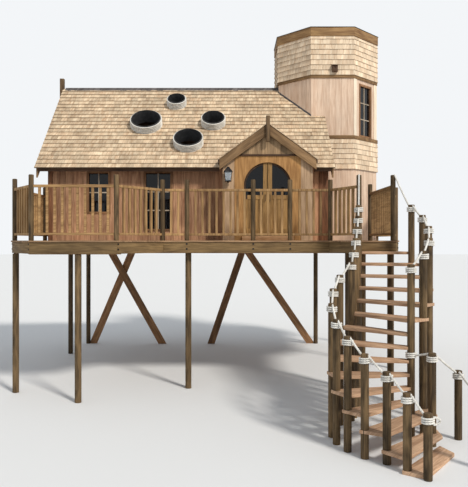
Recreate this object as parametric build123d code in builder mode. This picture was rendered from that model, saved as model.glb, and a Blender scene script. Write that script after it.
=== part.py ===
from build123d import *
import math
import os

# Tree house: a gabled cabin with a porch and an eight-sided tower on a raised deck, with a winding stair.
# Millimetres. +X to the right, +Y to the back, +Z up, origin under the middle front ground post.

# Fits
seat_gap = 0.3
board_gap = 1.0

# Deck plan
deck_height = 3050
deck_left = -3540
deck_right = 4810
deck_front = -240
deck_rear = 6200
bay_left = -2910
bay_right = -1240
bay_front = -1200
bay_root_left = -350
bay_root_right = -480
landing_root = 2860
landing_left = 3260
landing_right = 4020
landing_front = -1100
side_step_front = 800
side_step_rear = 1600
rear_cut_right = 850
rear_cut_left = 700

# Deck timbers
deck_board = 32
rim_thickness = 32
rim_depth = 218
rim_setback = 20
joist_width = 48
joist_depth = 100
joist_pitch = 450
beam_width = 90
beam_depth = 130
front_beam_y = 0
inner_beam_y = 1100
middle_beam_y = 3300
rear_beam_y = 5400
header_margin = 60

# Ground posts: places along the beams
ground_post_diameter = 125
left_post_y = 3800
bay_post_x = -2000
landing_post_inset = 110
stair_post_x = 3300
right_post_low_y = 1950
right_post_high_y = 4900
rear_post_left = -3340
rear_post_right = 3400

# Braces under the rear beam: top and foot across, and which face of the beam's middle line they lie on
brace_width = 75
brace_depth = 200
brace_lines = [(1340, 3250, 1), (1240, 300, -1), (-2020, -3200, 1), (-2700, -1140, -1)]

# Opening for the trunk
trunk_x = -290
trunk_y = 2200
trunk_opening = 1700

# Balustrade
rail_height = 1050
rail_depth = 50
rail_width = 60
low_rail_height = 145
low_rail_depth = 45
baluster = 45
baluster_pitch = 143
baluster_end_space = 57
newel_diameter = 95
newel_height = 1240
newel_inset = 70
pole_top_chamfer = 8

# Cabin
cabin_left = -3230
cabin_right = 2950
cabin_front = 1150
cabin_rear = 5190
wall = 100
floor_board = 28
floor_height = 100
batten_width = 60
batten_pitch = 600

# Main roof
roof_pitch = 45
roof_thickness = 90
eave_overhang = 250
gable_overhang = 170
eave_height = 1660
barge_thickness = 38
barge_depth = 190
ridge_cap_thickness = 22
ridge_cap_width = 150
finial_size = 105
finial_low = 3560
finial_high = 4190

# Porch
porch_left = 700
porch_right = 2660
porch_front = 650
porch_face = 90
porch_pitch = 36
porch_apex = 2530
porch_roof_thickness = 60
porch_eave_overhang = 70
porch_front_overhang = 50
porch_barge_depth = 190
porch_finial_size = 85
porch_finial_thickness = 60
porch_finial_low = 2130
porch_finial_high = 2690
step_depth = 110
step_height = 90
step_overhang = 40

# Double doors
door_half_width = 520
door_spring = 1180
door_thickness = 44
door_setback = 8
door_gap = 6
door_meeting_gap = 14
door_floor_gap = 8
door_rail_height = 900
stile_width = 90
outer_stile = 36
glass_thickness = 6
hinge_pin_diameter = 10
hinge_pin_clearance = 0.5
hinge_eye_diameter = 20
hinge_offset = 15
hinge_height = 30
hinge_strap_length = 330
hinge_strap_thickness = 6
hinge_low = 330
hinge_high = 925
hinge_heel = 45
hinge_neck = 8
hinge_neck_rise = 6
hinge_plate_width = 40
hinge_plate_thickness = 14
hinge_pin_shoulder = 1
hinge_pin_above = 6

# Tower
tower_x = 3360
tower_y = 3500
tower_width = 2500
tower_wall = 90
tower_height = 4990
tower_floor_height = 2100
tower_floor_thickness = 60
cornice_height = 210
cornice_thickness = 40
tower_roof_thickness = 90
tower_window_low = 2560
tower_window_high = 3880
tower_window_width = 560

# Windows
window_frame = 50
window_proud = 12
window_low = 600
window_high = 1570
window_left = -2380
window_width = 540
tall_window_left = -1090
tall_window_width = 650
tall_window_low = 210

# Rope collars round the openings for the stems: place on the slope and outer diameter
collar_rope = 40
collar_turns = 5
seal_thickness = 8
seal_below = 40
seal_above = 12
stem_openings = [(-1140, 2000, 770), (-100, 1470, 710), (460, 2040, 600), (-470, 2630, 500)]

# Stair
riser_count = 15
tread_thickness = 50
tread_lap = 40
tread_reach = 75
winder_end = 90
stair_post_diameter = 115
stair_post_above = 1060
rope_diameter = 29
rope_turns = 3
rope_below_top = 46
rail_rope_drop = 22
stair_top_margin = 20
foot_left_posts = [(3378, -4770), (3180, -4550)]
foot_right_post = (4290, -4500)
foot_right_ends = [(4030, -3930), (3960, -3650), (4010, -3290), (3985, -2930)]
lower_turn_x = 3636
lower_turn_y = -3200
lower_turn_radius = 1200
lower_turn_start = 238
lower_turn_angle = 111
lower_treads_count = 8
upper_left_middle = (3130, -1700)
upper_right_middle = (4225, -2250)
outer_post_place = (4360, -3200)
inner_post_place = (3860, -3500)
inner_post_rise = 1.6
newel_wrap_level = 6.5

# Lantern and nest box
lantern_x = 820
lantern_low = 1270
lantern_high = 1550
lantern_width = 140
lantern_foot_width = 84
lantern_cap_width = 154
lantern_tip_width = 28
lantern_standoff = 126
lantern_plate_width = 60
lantern_plate_thickness = 10
lantern_plate_low = 60
lantern_plate_drop = 40
lantern_cap_height = 100
lantern_arm = 16
nest_box_x = 3410
nest_box_below_top = 710
nest_box_width = 130
nest_box_height = 180
nest_box_depth = 110
nest_box_fall = 25
nest_box_hole = 32
nest_box_hole_drop = 55
nest_box_board = 15

# Worked out from the sizes above
deck_top = deck_height
deck_under = deck_top - deck_board
joist_under = deck_under - joist_depth
beam_under = joist_under - beam_depth
riser = deck_height / riser_count
room_floor = deck_top + floor_height
ridge_y = (cabin_front + cabin_rear) / 2
eave_front = cabin_front - eave_overhang
eave_rear = cabin_rear + eave_overhang
roof_left = cabin_left - gable_overhang
roof_right = cabin_right + gable_overhang
roof_rise = math.tan(math.radians(roof_pitch))
roof_plumb = roof_thickness / math.cos(math.radians(roof_pitch))
eave_top = deck_top + eave_height
ridge_top = eave_top + (ridge_y - eave_front) * roof_rise
porch_x = (porch_left + porch_right) / 2
porch_half = (porch_right - porch_left) / 2
porch_rise = math.tan(math.radians(porch_pitch))
porch_plumb = porch_roof_thickness / math.cos(math.radians(porch_pitch))
porch_top = deck_top + porch_apex
porch_eave_half = porch_half + porch_eave_overhang
porch_back = porch_front + porch_face
door_spring_z = deck_top + door_spring
tower_outer = tower_width / 2
tower_inner = tower_outer - tower_wall
tower_top = deck_top + tower_height
far = 3 * (deck_rear - bay_front)
facet_turn = 360 / 8
half_facet = facet_turn / 2


def roof_top_at(y):
    """Height of the main roof's upper face at this distance back."""
    return ridge_top - abs(y - ridge_y) * roof_rise


def roof_under_at(y):
    """Height of the main roof's lower face."""
    return roof_top_at(y) - roof_plumb


def porch_top_at(x):
    """Height of the porch roof's upper face."""
    return porch_top - abs(x - porch_x) * porch_rise


def porch_under_at(x):
    """Height of the porch roof's lower face."""
    return porch_top_at(x) - porch_plumb


def finish(piece, name):
    """Label a finished piece and write its file."""
    piece.part.label = name
    export_step(piece.part, "parts/" + name + ".step")


deck_corners = [
    (deck_left, bay_root_left),
    (bay_left, bay_front),
    (bay_right, bay_front),
    (bay_root_right, deck_front),
    (landing_root, deck_front),
    (landing_left, landing_front),
    (landing_right, landing_front),
    (landing_right, side_step_front),
    (deck_right, side_step_rear),
    (deck_right, deck_rear - rear_cut_right),
    (deck_right - rear_cut_right, deck_rear),
    (deck_left + rear_cut_left, deck_rear),
    (deck_left, deck_rear - rear_cut_left),
]


def inset_corner(index, inset):
    """Corner of the deck outline moved inwards along the mitre line."""
    count = len(deck_corners)
    before = Vector(*deck_corners[(index - 1) % count])
    here = Vector(*deck_corners[index % count])
    after = Vector(*deck_corners[(index + 1) % count])
    first = (here - before).normalized()
    second = (after - here).normalized()
    in_first = Vector(-first.Y, first.X)
    in_second = Vector(-second.Y, second.X)
    corner = here + (in_first + in_second) * (inset / (1 + in_first.dot(in_second)))
    return (corner.X, corner.Y)


def inset_outline(inset):
    """The whole deck outline moved inwards."""
    return [inset_corner(index, inset) for index in range(len(deck_corners))]


def towards(start, end, distance):
    """The point that lies a distance from start towards end."""
    share = distance / math.dist(start, end)
    return (start[0] + (end[0] - start[0]) * share, start[1] + (end[1] - start[1]) * share)


def box_between(low, high):
    """A box from its lowest to its highest corner, in the part being built."""
    size = [b - a for a, b in zip(low, high)]
    with Locations(tuple((a + b) / 2 for a, b in zip(low, high))):
        Box(*size)


os.makedirs("parts", exist_ok=True)

# Ground posts: round poles from the ground to the underside of the beams
beam_setback = rim_setback + rim_thickness + board_gap + beam_width / 2
left_beam_x = deck_left + beam_setback
right_beam_x = deck_right - beam_setback
bay_beam_y = bay_front + beam_setback
landing_beam_y = landing_front + beam_setback
ground_post_places = [
    (left_beam_x, bay_root_left),
    (left_beam_x, left_post_y),
    (bay_post_x, bay_beam_y),
    (0, front_beam_y),
    (landing_left + landing_post_inset, landing_beam_y),
    (landing_right - landing_post_inset, landing_beam_y),
    (stair_post_x, front_beam_y),
    (right_beam_x, right_post_low_y),
    (right_beam_x, right_post_high_y),
    (rear_post_left, rear_beam_y),
    (rear_post_right, rear_beam_y),
]
with BuildPart() as ground_posts:
    with BuildSketch(Plane.XY):
        with Locations(*ground_post_places):
            Circle(ground_post_diameter / 2)
    extrude(amount=beam_under)
finish(ground_posts, "ground_posts")

# Beams: sawn timbers on the posts, the cross beams stopped between the two side beams
cross_beam_left = left_beam_x + beam_width / 2 + board_gap / 2
cross_beam_right = right_beam_x - beam_width / 2 - board_gap / 2
cross_beams = [
    (bay_left - beam_width, bay_right + beam_width, bay_beam_y),
    (cross_beam_left, deck_right, front_beam_y),
    (cross_beam_left, deck_right, inner_beam_y),
    (cross_beam_left, cross_beam_right, middle_beam_y),
    (deck_left, deck_right, rear_beam_y),
    (landing_root, landing_right, landing_beam_y),
]
side_beams = [
    (left_beam_x, bay_root_left - beam_width, rear_beam_y - beam_width / 2 - board_gap / 2),
    (right_beam_x, side_step_rear, rear_beam_y - beam_width / 2 - board_gap / 2),
]
with BuildPart() as deck_beams:
    with BuildSketch(Plane.XY.offset(beam_under)):
        for low_x, high_x, beam_y in cross_beams:
            with Locations(((low_x + high_x) / 2, beam_y)):
                Rectangle(high_x - low_x, beam_width)
        for beam_x, low_y, high_y in side_beams:
            with Locations((beam_x, (low_y + high_y) / 2)):
                Rectangle(beam_width, high_y - low_y)
        Polygon(*inset_outline(rim_setback + rim_thickness), align=None, mode=Mode.INTERSECT)
    extrude(amount=beam_depth)
finish(deck_beams, "deck_beams")

# Joists: they cross the beams and stop at the rim boards and at the trunk opening
joist_count = int((deck_right - deck_left) / joist_pitch)
header_reach = trunk_opening / 2 + header_margin
with BuildPart() as deck_joists:
    with BuildSketch(Plane.XY.offset(joist_under)):
        with Locations(((deck_left + deck_right) / 2, (bay_front + deck_rear) / 2)):
            with GridLocations(joist_pitch, 1, joist_count, 1):
                Rectangle(joist_width, deck_rear - bay_front)
        Polygon(*inset_outline(rim_setback + rim_thickness), align=None, mode=Mode.INTERSECT)
        with Locations((trunk_x, trunk_y)):
            Rectangle(trunk_opening + joist_width, 2 * (header_reach + joist_width), mode=Mode.SUBTRACT)
    extrude(amount=joist_depth)
finish(deck_joists, "deck_joists")

# Headers: the cut joists end on these two, before and behind the trunk
with BuildPart() as trunk_headers:
    with BuildSketch(Plane.XY.offset(joist_under)):
        with Locations((trunk_x, trunk_y)):
            with GridLocations(1, 2 * header_reach + joist_width, 1, 2):
                Rectangle(trunk_opening + joist_width - 2 * board_gap, joist_width)
    extrude(amount=joist_depth)
finish(trunk_headers, "trunk_headers")

# Rim: one fascia board along each side of the deck, hiding the joist ends
with BuildPart() as deck_rim:
    for side in range(len(deck_corners)):
        outer_start = inset_corner(side, rim_setback)
        outer_end = inset_corner(side + 1, rim_setback)
        inner_start = inset_corner(side, rim_setback + rim_thickness)
        inner_end = inset_corner(side + 1, rim_setback + rim_thickness)
        board = [
            towards(outer_start, outer_end, board_gap / 2),
            towards(outer_end, outer_start, board_gap / 2),
            towards(inner_end, inner_start, board_gap / 2),
            towards(inner_start, inner_end, board_gap / 2),
        ]
        with BuildSketch(Plane.XY.offset(deck_under - rim_depth)):
            Polygon(*board, align=None)
        extrude(amount=rim_depth)
finish(deck_rim, "deck_rim")


def eight_sides(centre_x, centre_y, apothem):
    """Corners of a regular octagon with flats to the front, back and sides."""
    reach = apothem / math.cos(math.radians(half_facet))
    angles = [math.radians(half_facet + facet_turn * step) for step in range(8)]
    return [(centre_x + reach * math.cos(a), centre_y + reach * math.sin(a)) for a in angles]


# Deck floor: boarded, with an eight-sided opening for the trunk
with BuildPart() as deck_floor:
    with BuildSketch(Plane.XY.offset(deck_under)):
        Polygon(*deck_corners, align=None)
        Polygon(*eight_sides(trunk_x, trunk_y, trunk_opening / 2), align=None, mode=Mode.SUBTRACT)
    extrude(amount=deck_board)
finish(deck_floor, "deck_floor")

# Braces: sloping timbers under the rear beam, cut level at both ends, the legs of a pair side by side
brace_rise = beam_under
with BuildPart() as deck_braces:
    for top_x, foot_x, face in brace_lines:
        run = foot_x - top_x
        level_cut = brace_depth * math.hypot(run, brace_rise) / brace_rise
        half = level_cut / 2
        outline = [
            (foot_x - half, 0),
            (foot_x + half, 0),
            (top_x + half, brace_rise),
            (top_x - half, brace_rise),
        ]
        brace_y = rear_beam_y + face * (brace_width + board_gap) / 2
        with BuildSketch(Plane.XZ.offset(-brace_y)):
            Polygon(*outline, align=None)
        extrude(amount=brace_width / 2, both=True)
    with BuildSketch(Plane.XY):
        with Locations(*ground_post_places):
            Circle(ground_post_diameter / 2 + seat_gap)
    extrude(amount=beam_under, mode=Mode.SUBTRACT)
finish(deck_braces, "deck_braces")

# Newels: round poles on the deck at its corners and along its long sides
newel_radius = newel_diameter / 2
corner_newels = [inset_corner(side, newel_inset) for side in range(len(deck_corners))]


def along_side(side, share):
    """Newel place at a share of the way along a side of the deck."""
    start = corner_newels[side]
    end = corner_newels[(side + 1) % len(corner_newels)]
    return (start[0] + (end[0] - start[0]) * share, start[1] + (end[1] - start[1]) * share)


landing_side = deck_corners.index((landing_left, landing_front))
between_newels = {3: [0.145, 0.54, 0.76], 9: [], 8: [0.5], 10: [0.25, 0.5, 0.75], 12: [0.33, 0.66]}
balustrade_names = {
    "balustrade_front": [12, 0, 1, 2, 3, 4],
    "balustrade_right": [6, 7, 8, 9],
    "balustrade_rear": [10, 11],
}
newel_places = list(corner_newels)
for side, shares in between_newels.items():
    newel_places += [along_side(side, share) for share in shares]
with BuildPart() as deck_newels:
    with BuildSketch(Plane.XY.offset(deck_top)):
        with Locations(*newel_places):
            Circle(newel_radius)
    extrude(amount=newel_height)
    chamfer(deck_newels.edges().group_by(Axis.Z)[-1], length=pole_top_chamfer)
finish(deck_newels, "deck_newels")


def balustrade_bay(start, end):
    """Two rails with square balusters between two newels, in the part being built."""
    middle = ((start[0] + end[0]) / 2, (start[1] + end[1]) / 2, deck_top)
    along = Plane(origin=middle, x_dir=(end[0] - start[0], end[1] - start[1], 0), z_dir=(0, 0, 1))
    length = math.dist(start, end) - 2 * (newel_radius + seat_gap)
    count = max(1, int((length - baluster_end_space) / baluster_pitch))
    with BuildSketch(along.offset(rail_height - rail_depth)) as top_rail:
        Rectangle(length, rail_width)
    extrude(top_rail.sketch, amount=rail_depth)
    with BuildSketch(along.offset(low_rail_height - low_rail_depth)) as low_rail:
        Rectangle(length, rail_width)
    extrude(low_rail.sketch, amount=low_rail_depth)
    with BuildSketch(along.offset(low_rail_height)) as balusters:
        with GridLocations(baluster_pitch, 1, count, 1):
            Rectangle(baluster, baluster)
    extrude(balusters.sketch, amount=rail_height - rail_depth - low_rail_height)


for name, sides in balustrade_names.items():
    with BuildPart() as balustrade:
        for side in sides:
            shares = [0] + between_newels.get(side, []) + [1]
            for low_share, high_share in zip(shares, shares[1:]):
                balustrade_bay(along_side(side, low_share), along_side(side, high_share))
    finish(balustrade, name)


def wall_profile(low_y, high_y):
    """Cross section of a long wall, its top cut to the roof slope."""
    return [(low_y, deck_top), (high_y, deck_top), (high_y, roof_under_at(high_y)), (low_y, roof_under_at(low_y))]


def window_cut(plane, low, high, left, right):
    """Opening through the wall being built, on a plane with its own left and low."""
    with BuildSketch(plane) as opening:
        with Locations(((left + right) / 2, (low + high) / 2)):
            Rectangle(right - left, high - low)
    extrude(opening.sketch, amount=2 * wall, both=True, mode=Mode.SUBTRACT)


front_plane = Plane.XZ.offset(-cabin_front)
rear_plane = Plane.XZ.offset(-cabin_rear)
left_plane = Plane.YZ.offset(cabin_left)
small_sill = deck_top + window_low
small_head = deck_top + window_high
tall_sill = deck_top + tall_window_low
window_right = window_left + window_width
tall_window_right = tall_window_left + tall_window_width
mirror_window_right = cabin_left + cabin_right - window_left
gable_window_low_y = ridge_y - window_width / 2
gable_window_high_y = ridge_y + window_width / 2

# Front wall: split by the porch, with the small window and the tall one on the left
with BuildPart() as front_wall:
    for low_x, high_x in ((cabin_left, porch_left + wall), (porch_right - wall, cabin_right)):
        with BuildSketch(Plane.YZ.offset(low_x)):
            Polygon(*wall_profile(cabin_front, cabin_front + wall), align=None)
        extrude(amount=high_x - low_x)
    window_cut(front_plane, small_sill, small_head, window_left, window_right)
    window_cut(front_plane, tall_sill, small_head, tall_window_left, tall_window_right)
finish(front_wall, "front_wall")

# Rear wall: two small windows
with BuildPart() as rear_wall:
    with BuildSketch(Plane.YZ.offset(cabin_left)):
        Polygon(*wall_profile(cabin_rear - wall, cabin_rear), align=None)
    extrude(amount=cabin_right - cabin_left)
    window_cut(rear_plane, small_sill, small_head, window_left, window_right)
    window_cut(rear_plane, small_sill, small_head, mirror_window_right - window_width, mirror_window_right)
finish(rear_wall, "rear_wall")

gable_low_y = cabin_front + wall
gable_high_y = cabin_rear - wall
gable_profile = [
    (gable_low_y, deck_top),
    (gable_high_y, deck_top),
    (gable_high_y, roof_under_at(gable_high_y)),
    (ridge_y, roof_under_at(ridge_y)),
    (gable_low_y, roof_under_at(gable_low_y)),
]

# Left gable wall, with one small window
with BuildPart() as left_gable_wall:
    with BuildSketch(Plane.YZ.offset(cabin_left)):
        Polygon(*gable_profile, align=None)
    extrude(amount=wall)
    window_cut(left_plane, small_sill, small_head, gable_window_low_y, gable_window_high_y)
finish(left_gable_wall, "left_gable_wall")

# Right gable wall: it stops each side of the tower
tower_corners = eight_sides(tower_x, tower_y, tower_outer)
with BuildPart() as right_gable_wall:
    with BuildSketch(Plane.YZ.offset(cabin_right - wall)):
        Polygon(*gable_profile, align=None)
    extrude(amount=wall)
    with BuildSketch(Plane.XY.offset(deck_top)):
        Polygon(*tower_corners, align=None)
    extrude(amount=tower_height, mode=Mode.SUBTRACT)
finish(right_gable_wall, "right_gable_wall")


def tower_corner(angle, apothem):
    """Corner of the tower plan at an angle from its centre."""
    reach = apothem / math.cos(math.radians(half_facet))
    turn = math.radians(angle)
    return (tower_x + reach * math.cos(turn), tower_y + reach * math.sin(turn))


def mitred_board(facing, inner, outer, gap):
    """Plan of one of eight boards round the tower, its mitres half a gap open."""
    outer_start = tower_corner(facing - half_facet, outer)
    outer_end = tower_corner(facing + half_facet, outer)
    inner_start = tower_corner(facing - half_facet, inner)
    inner_end = tower_corner(facing + half_facet, inner)
    return [
        towards(outer_start, outer_end, gap / 2),
        towards(outer_end, outer_start, gap / 2),
        towards(inner_end, inner_start, gap / 2),
        towards(inner_start, inner_end, gap / 2),
    ]


def tower_face(facing, height):
    """Plane on a tower wall's outer face, with its local X level and its local Y up."""
    turn = math.radians(facing)
    out = Vector(math.cos(turn), math.sin(turn), 0)
    level = Vector(-math.sin(turn), math.cos(turn), 0)
    origin = Vector(tower_x, tower_y, height) + out * tower_outer
    return Plane(origin=origin, x_dir=level, z_dir=out)


# Tower walls: five stand on the deck, three inside the cabin start at the upper floor
upper_room_low = deck_top + tower_floor_height - tower_floor_thickness
window_facing = 315
outer_facings = [270, window_facing, 0, 45, 90]
upper_facings = [135, 180, 225]
tower_window_middle = deck_top + (tower_window_low + tower_window_high) / 2
with BuildPart() as tower_walls:
    for facing in outer_facings:
        with BuildSketch(Plane.XY.offset(deck_top)):
            Polygon(*mitred_board(facing, tower_inner, tower_outer, seat_gap), align=None)
        extrude(amount=tower_height)
    with BuildSketch(tower_face(window_facing, tower_window_middle)):
        Rectangle(tower_window_width, tower_window_high - tower_window_low)
    extrude(amount=2 * tower_wall, both=True, mode=Mode.SUBTRACT)
finish(tower_walls, "tower_walls")

with BuildPart() as tower_inner_walls:
    for facing in upper_facings:
        with BuildSketch(Plane.XY.offset(upper_room_low)):
            Polygon(*mitred_board(facing, tower_inner, tower_outer, seat_gap), align=None)
        extrude(amount=tower_top - upper_room_low)
finish(tower_inner_walls, "tower_inner_walls")

# Upper floor of the tower
with BuildPart() as tower_floor:
    with BuildSketch(Plane.XY.offset(upper_room_low)):
        Polygon(*eight_sides(tower_x, tower_y, tower_inner), align=None)
    extrude(amount=tower_floor_thickness)
finish(tower_floor, "tower_floor")

# Flat roof of the tower, on the wall tops
with BuildPart() as tower_roof:
    with BuildSketch(Plane.XY.offset(tower_top)):
        Polygon(*tower_corners, align=None)
    extrude(amount=tower_roof_thickness)
finish(tower_roof, "tower_roof")

# Cornice: eight boards round the flat roof
with BuildPart() as tower_cornice:
    for facing in outer_facings + upper_facings:
        with BuildSketch(Plane.XY.offset(tower_top)):
            Polygon(*mitred_board(facing, tower_outer, tower_outer + cornice_thickness, board_gap), align=None)
        extrude(amount=cornice_height)
finish(tower_cornice, "tower_cornice")


def draw_floor_plan():
    """Plan of the cabin floor between the walls, with the porch and the tower's foot."""
    inside_low = (cabin_left + wall, cabin_front + wall)
    inside_high = (cabin_right - wall, cabin_rear - wall)
    with Locations(((inside_low[0] + inside_high[0]) / 2, (inside_low[1] + inside_high[1]) / 2)):
        Rectangle(inside_high[0] - inside_low[0], inside_high[1] - inside_low[1])
    with Locations((porch_x, (porch_back + gable_low_y) / 2)):
        Rectangle(2 * (porch_half - wall), gable_low_y - porch_back)
    Polygon(*eight_sides(tower_x, tower_y, tower_inner), align=None)
    for facing in outer_facings:
        Polygon(*mitred_board(facing, tower_inner, tower_outer, 0), align=None, mode=Mode.SUBTRACT)
    Polygon(*eight_sides(trunk_x, trunk_y, trunk_opening / 2), align=None, mode=Mode.SUBTRACT)


# Cabin floor: boards on battens
with BuildPart() as cabin_floor:
    with BuildSketch(Plane.XY.offset(room_floor - floor_board)):
        draw_floor_plan()
    extrude(amount=floor_board)
finish(cabin_floor, "cabin_floor")

with BuildPart() as floor_battens:
    with BuildSketch(Plane.XY.offset(deck_top)):
        draw_floor_plan()
        gap_count = 2 * math.ceil((tower_x + tower_outer - cabin_left) / batten_pitch) + 1
        with Locations(((cabin_left + cabin_right) / 2, ridge_y)):
            with GridLocations(batten_pitch, 1, gap_count, 1):
                Rectangle(batten_pitch - batten_width, far, mode=Mode.SUBTRACT)
    extrude(amount=floor_height - floor_board)
finish(floor_battens, "floor_battens")

# Porch walls: two cheeks, the front split beside and over the doorway
porch_front_plane = Plane.XZ.offset(-porch_front)
with BuildPart() as porch_side_walls:
    for outer, inner in ((porch_left, porch_left + wall), (porch_right, porch_right - wall)):
        with BuildSketch(Plane.XZ.offset(-porch_back)):
            Polygon(
                (outer, deck_top),
                (inner, deck_top),
                (inner, porch_under_at(inner)),
                (outer, porch_under_at(outer)),
                align=None,
            )
    extrude(amount=porch_back - cabin_front)
finish(porch_side_walls, "porch_side_walls")

with BuildPart() as porch_jambs:
    for outer, inner in ((porch_left, porch_x - door_half_width), (porch_right, porch_x + door_half_width)):
        box_between(
            (min(outer, inner), porch_front, deck_top),
            (max(outer, inner), porch_back, door_spring_z),
        )
finish(porch_jambs, "porch_jambs")

with BuildPart() as porch_gable:
    with BuildSketch(porch_front_plane):
        Polygon(
            (porch_left, door_spring_z),
            (porch_right, door_spring_z),
            (porch_right, porch_under_at(porch_right)),
            (porch_x, porch_under_at(porch_x)),
            (porch_left, porch_under_at(porch_left)),
            align=None,
        )
        with Locations((porch_x, door_spring_z)):
            Circle(door_half_width, mode=Mode.SUBTRACT)
    extrude(amount=-porch_face)
finish(porch_gable, "porch_gable")

# Door step: a sill between the jambs with a lower tread in front of it
with BuildPart() as door_step:
    box_between(
        (porch_x - door_half_width, porch_front, deck_top),
        (porch_x + door_half_width, porch_back, room_floor),
    )
    box_between(
        (porch_x - door_half_width - step_overhang, porch_front - step_depth, deck_top),
        (porch_x + door_half_width + step_overhang, porch_front, deck_top + step_height),
    )
finish(door_step, "door_step")

# Porch roof: two slopes that run back into the main roof
porch_roof_front = porch_front - porch_front_overhang
with BuildPart() as porch_roof:
    with BuildSketch(Plane.XZ.offset(-porch_roof_front)):
        for side in (-1, 1):
            edge_x = porch_x + side * porch_eave_half
            peak_x = porch_x + side * seat_gap / 2
            Polygon(
                (edge_x, porch_top_at(edge_x)),
                (peak_x, porch_top_at(peak_x)),
                (peak_x, porch_under_at(peak_x)),
                (edge_x, porch_under_at(edge_x)),
                align=None,
            )
    extrude(amount=porch_roof_front - ridge_y)
    with BuildSketch(Plane.YZ.offset(porch_x - 2 * porch_half)):
        Polygon(
            (eave_front, roof_under_at(eave_front)),
            (ridge_y, roof_under_at(ridge_y)),
            (ridge_y, deck_top),
            (eave_front, deck_top),
            align=None,
        )
    extrude(amount=4 * porch_half, mode=Mode.SUBTRACT)
finish(porch_roof, "porch_roof")

# Main roof
slope_turn = math.radians(roof_pitch)


def slope_plane(x, y):
    """Plane on the front slope's upper face, facing out of the roof."""
    normal = (0, -math.sin(slope_turn), math.cos(slope_turn))
    return Plane(origin=(x, y, roof_top_at(y)), x_dir=(1, 0, 0), z_dir=normal)


def roof_slope(eave_y):
    """One slope from its eave to the ridge, cut round the tower, in the part being built."""
    with BuildSketch(Plane.YZ.offset(roof_left)) as slope_section:
        Polygon(
            (eave_y, roof_top_at(eave_y)),
            (ridge_y, ridge_top),
            (ridge_y, ridge_top - roof_plumb),
            (eave_y, roof_under_at(eave_y)),
            align=None,
        )
    extrude(slope_section.sketch, amount=roof_right - roof_left)
    with BuildSketch(Plane.XY.offset(deck_top)) as tower_plan:
        Polygon(*tower_corners, align=None)
    extrude(tower_plan.sketch, amount=tower_height, mode=Mode.SUBTRACT)


with BuildPart() as front_roof:
    roof_slope(eave_front)
    with BuildSketch(porch_front_plane):
        Polygon(
            (porch_x - porch_eave_half, deck_top),
            (porch_x + porch_eave_half, deck_top),
            (porch_x + porch_eave_half, porch_top_at(porch_x + porch_eave_half)),
            (porch_x, porch_top),
            (porch_x - porch_eave_half, porch_top_at(porch_x - porch_eave_half)),
            align=None,
        )
    extrude(amount=porch_front - ridge_y, mode=Mode.SUBTRACT)
    for stem_x, stem_y, collar_diameter in stem_openings:
        with BuildSketch(slope_plane(stem_x, stem_y)):
            Circle(collar_diameter / 2 - collar_rope)
        extrude(amount=2 * roof_thickness, both=True, mode=Mode.SUBTRACT)
finish(front_roof, "front_roof")

with BuildPart() as rear_roof:
    roof_slope(eave_rear)
finish(rear_roof, "rear_roof")

# Rope collars: stacked turns of thick rope round each stem opening, on the slope
with BuildPart() as rope_collars:
    for stem_x, stem_y, collar_diameter in stem_openings:
        with BuildSketch(slope_plane(stem_x, stem_y)):
            Circle(collar_diameter / 2)
            Circle(collar_diameter / 2 - collar_rope, mode=Mode.SUBTRACT)
        extrude(amount=collar_rope * collar_turns)
finish(rope_collars, "rope_collars")

# Rubber seals: a sleeve inside each collar, through the roof
with BuildPart() as stem_seals:
    for stem_x, stem_y, collar_diameter in stem_openings:
        seal_radius = collar_diameter / 2 - collar_rope - seat_gap
        with BuildSketch(slope_plane(stem_x, stem_y).offset(-roof_thickness - seal_below)):
            Circle(seal_radius)
            Circle(seal_radius - seal_thickness, mode=Mode.SUBTRACT)
        extrude(amount=seal_below + roof_thickness + collar_rope * collar_turns + seal_above)
finish(stem_seals, "stem_seals")

# Ridge cap: two boards along the ridge, up to the tower
cap_right = tower_x - tower_outer
cap_plumb = ridge_cap_thickness / math.cos(slope_turn)
cap_reach = ridge_cap_width * math.cos(slope_turn)
with BuildPart() as ridge_cap:
    with BuildSketch(Plane.YZ.offset(roof_left)):
        Polygon(
            (ridge_y - cap_reach, roof_top_at(ridge_y - cap_reach)),
            (ridge_y, ridge_top),
            (ridge_y + cap_reach, roof_top_at(ridge_y + cap_reach)),
            (ridge_y + cap_reach, roof_top_at(ridge_y + cap_reach) + cap_plumb),
            (ridge_y, ridge_top + cap_plumb),
            (ridge_y - cap_reach, roof_top_at(ridge_y - cap_reach) + cap_plumb),
            align=None,
        )
    extrude(amount=cap_right - roof_left)
finish(ridge_cap, "ridge_cap")

# Barge boards: on both gables, the right pair stopped at the tower, and on the porch
gable_barge_plumb = barge_depth / math.cos(slope_turn)
porch_barge_plumb = porch_barge_depth / math.cos(math.radians(porch_pitch))
with BuildPart() as barge_boards:
    for face_x in (roof_left - barge_thickness, roof_right):
        for eave_y, peak_y in ((eave_front, ridge_y - board_gap / 2), (eave_rear, ridge_y + board_gap / 2)):
            with BuildSketch(Plane.YZ.offset(face_x)):
                Polygon(
                    (eave_y, roof_top_at(eave_y)),
                    (peak_y, roof_top_at(peak_y)),
                    (peak_y, roof_top_at(peak_y) - gable_barge_plumb),
                    (eave_y, roof_top_at(eave_y) - gable_barge_plumb),
                    align=None,
                )
            extrude(amount=barge_thickness)
    with BuildSketch(Plane.XY.offset(deck_top)):
        Polygon(*tower_corners, align=None)
    extrude(amount=tower_height, mode=Mode.SUBTRACT)
    with BuildSketch(Plane.XZ.offset(-porch_roof_front)):
        for side in (-1, 1):
            edge_x = porch_x + side * porch_eave_half
            peak_x = porch_x + side * board_gap / 2
            Polygon(
                (edge_x, porch_top_at(edge_x)),
                (peak_x, porch_top_at(peak_x)),
                (peak_x, porch_top_at(peak_x) - porch_barge_plumb),
                (edge_x, porch_top_at(edge_x) - porch_barge_plumb),
                align=None,
            )
    extrude(amount=barge_thickness)
finish(barge_boards, "barge_boards")

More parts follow.
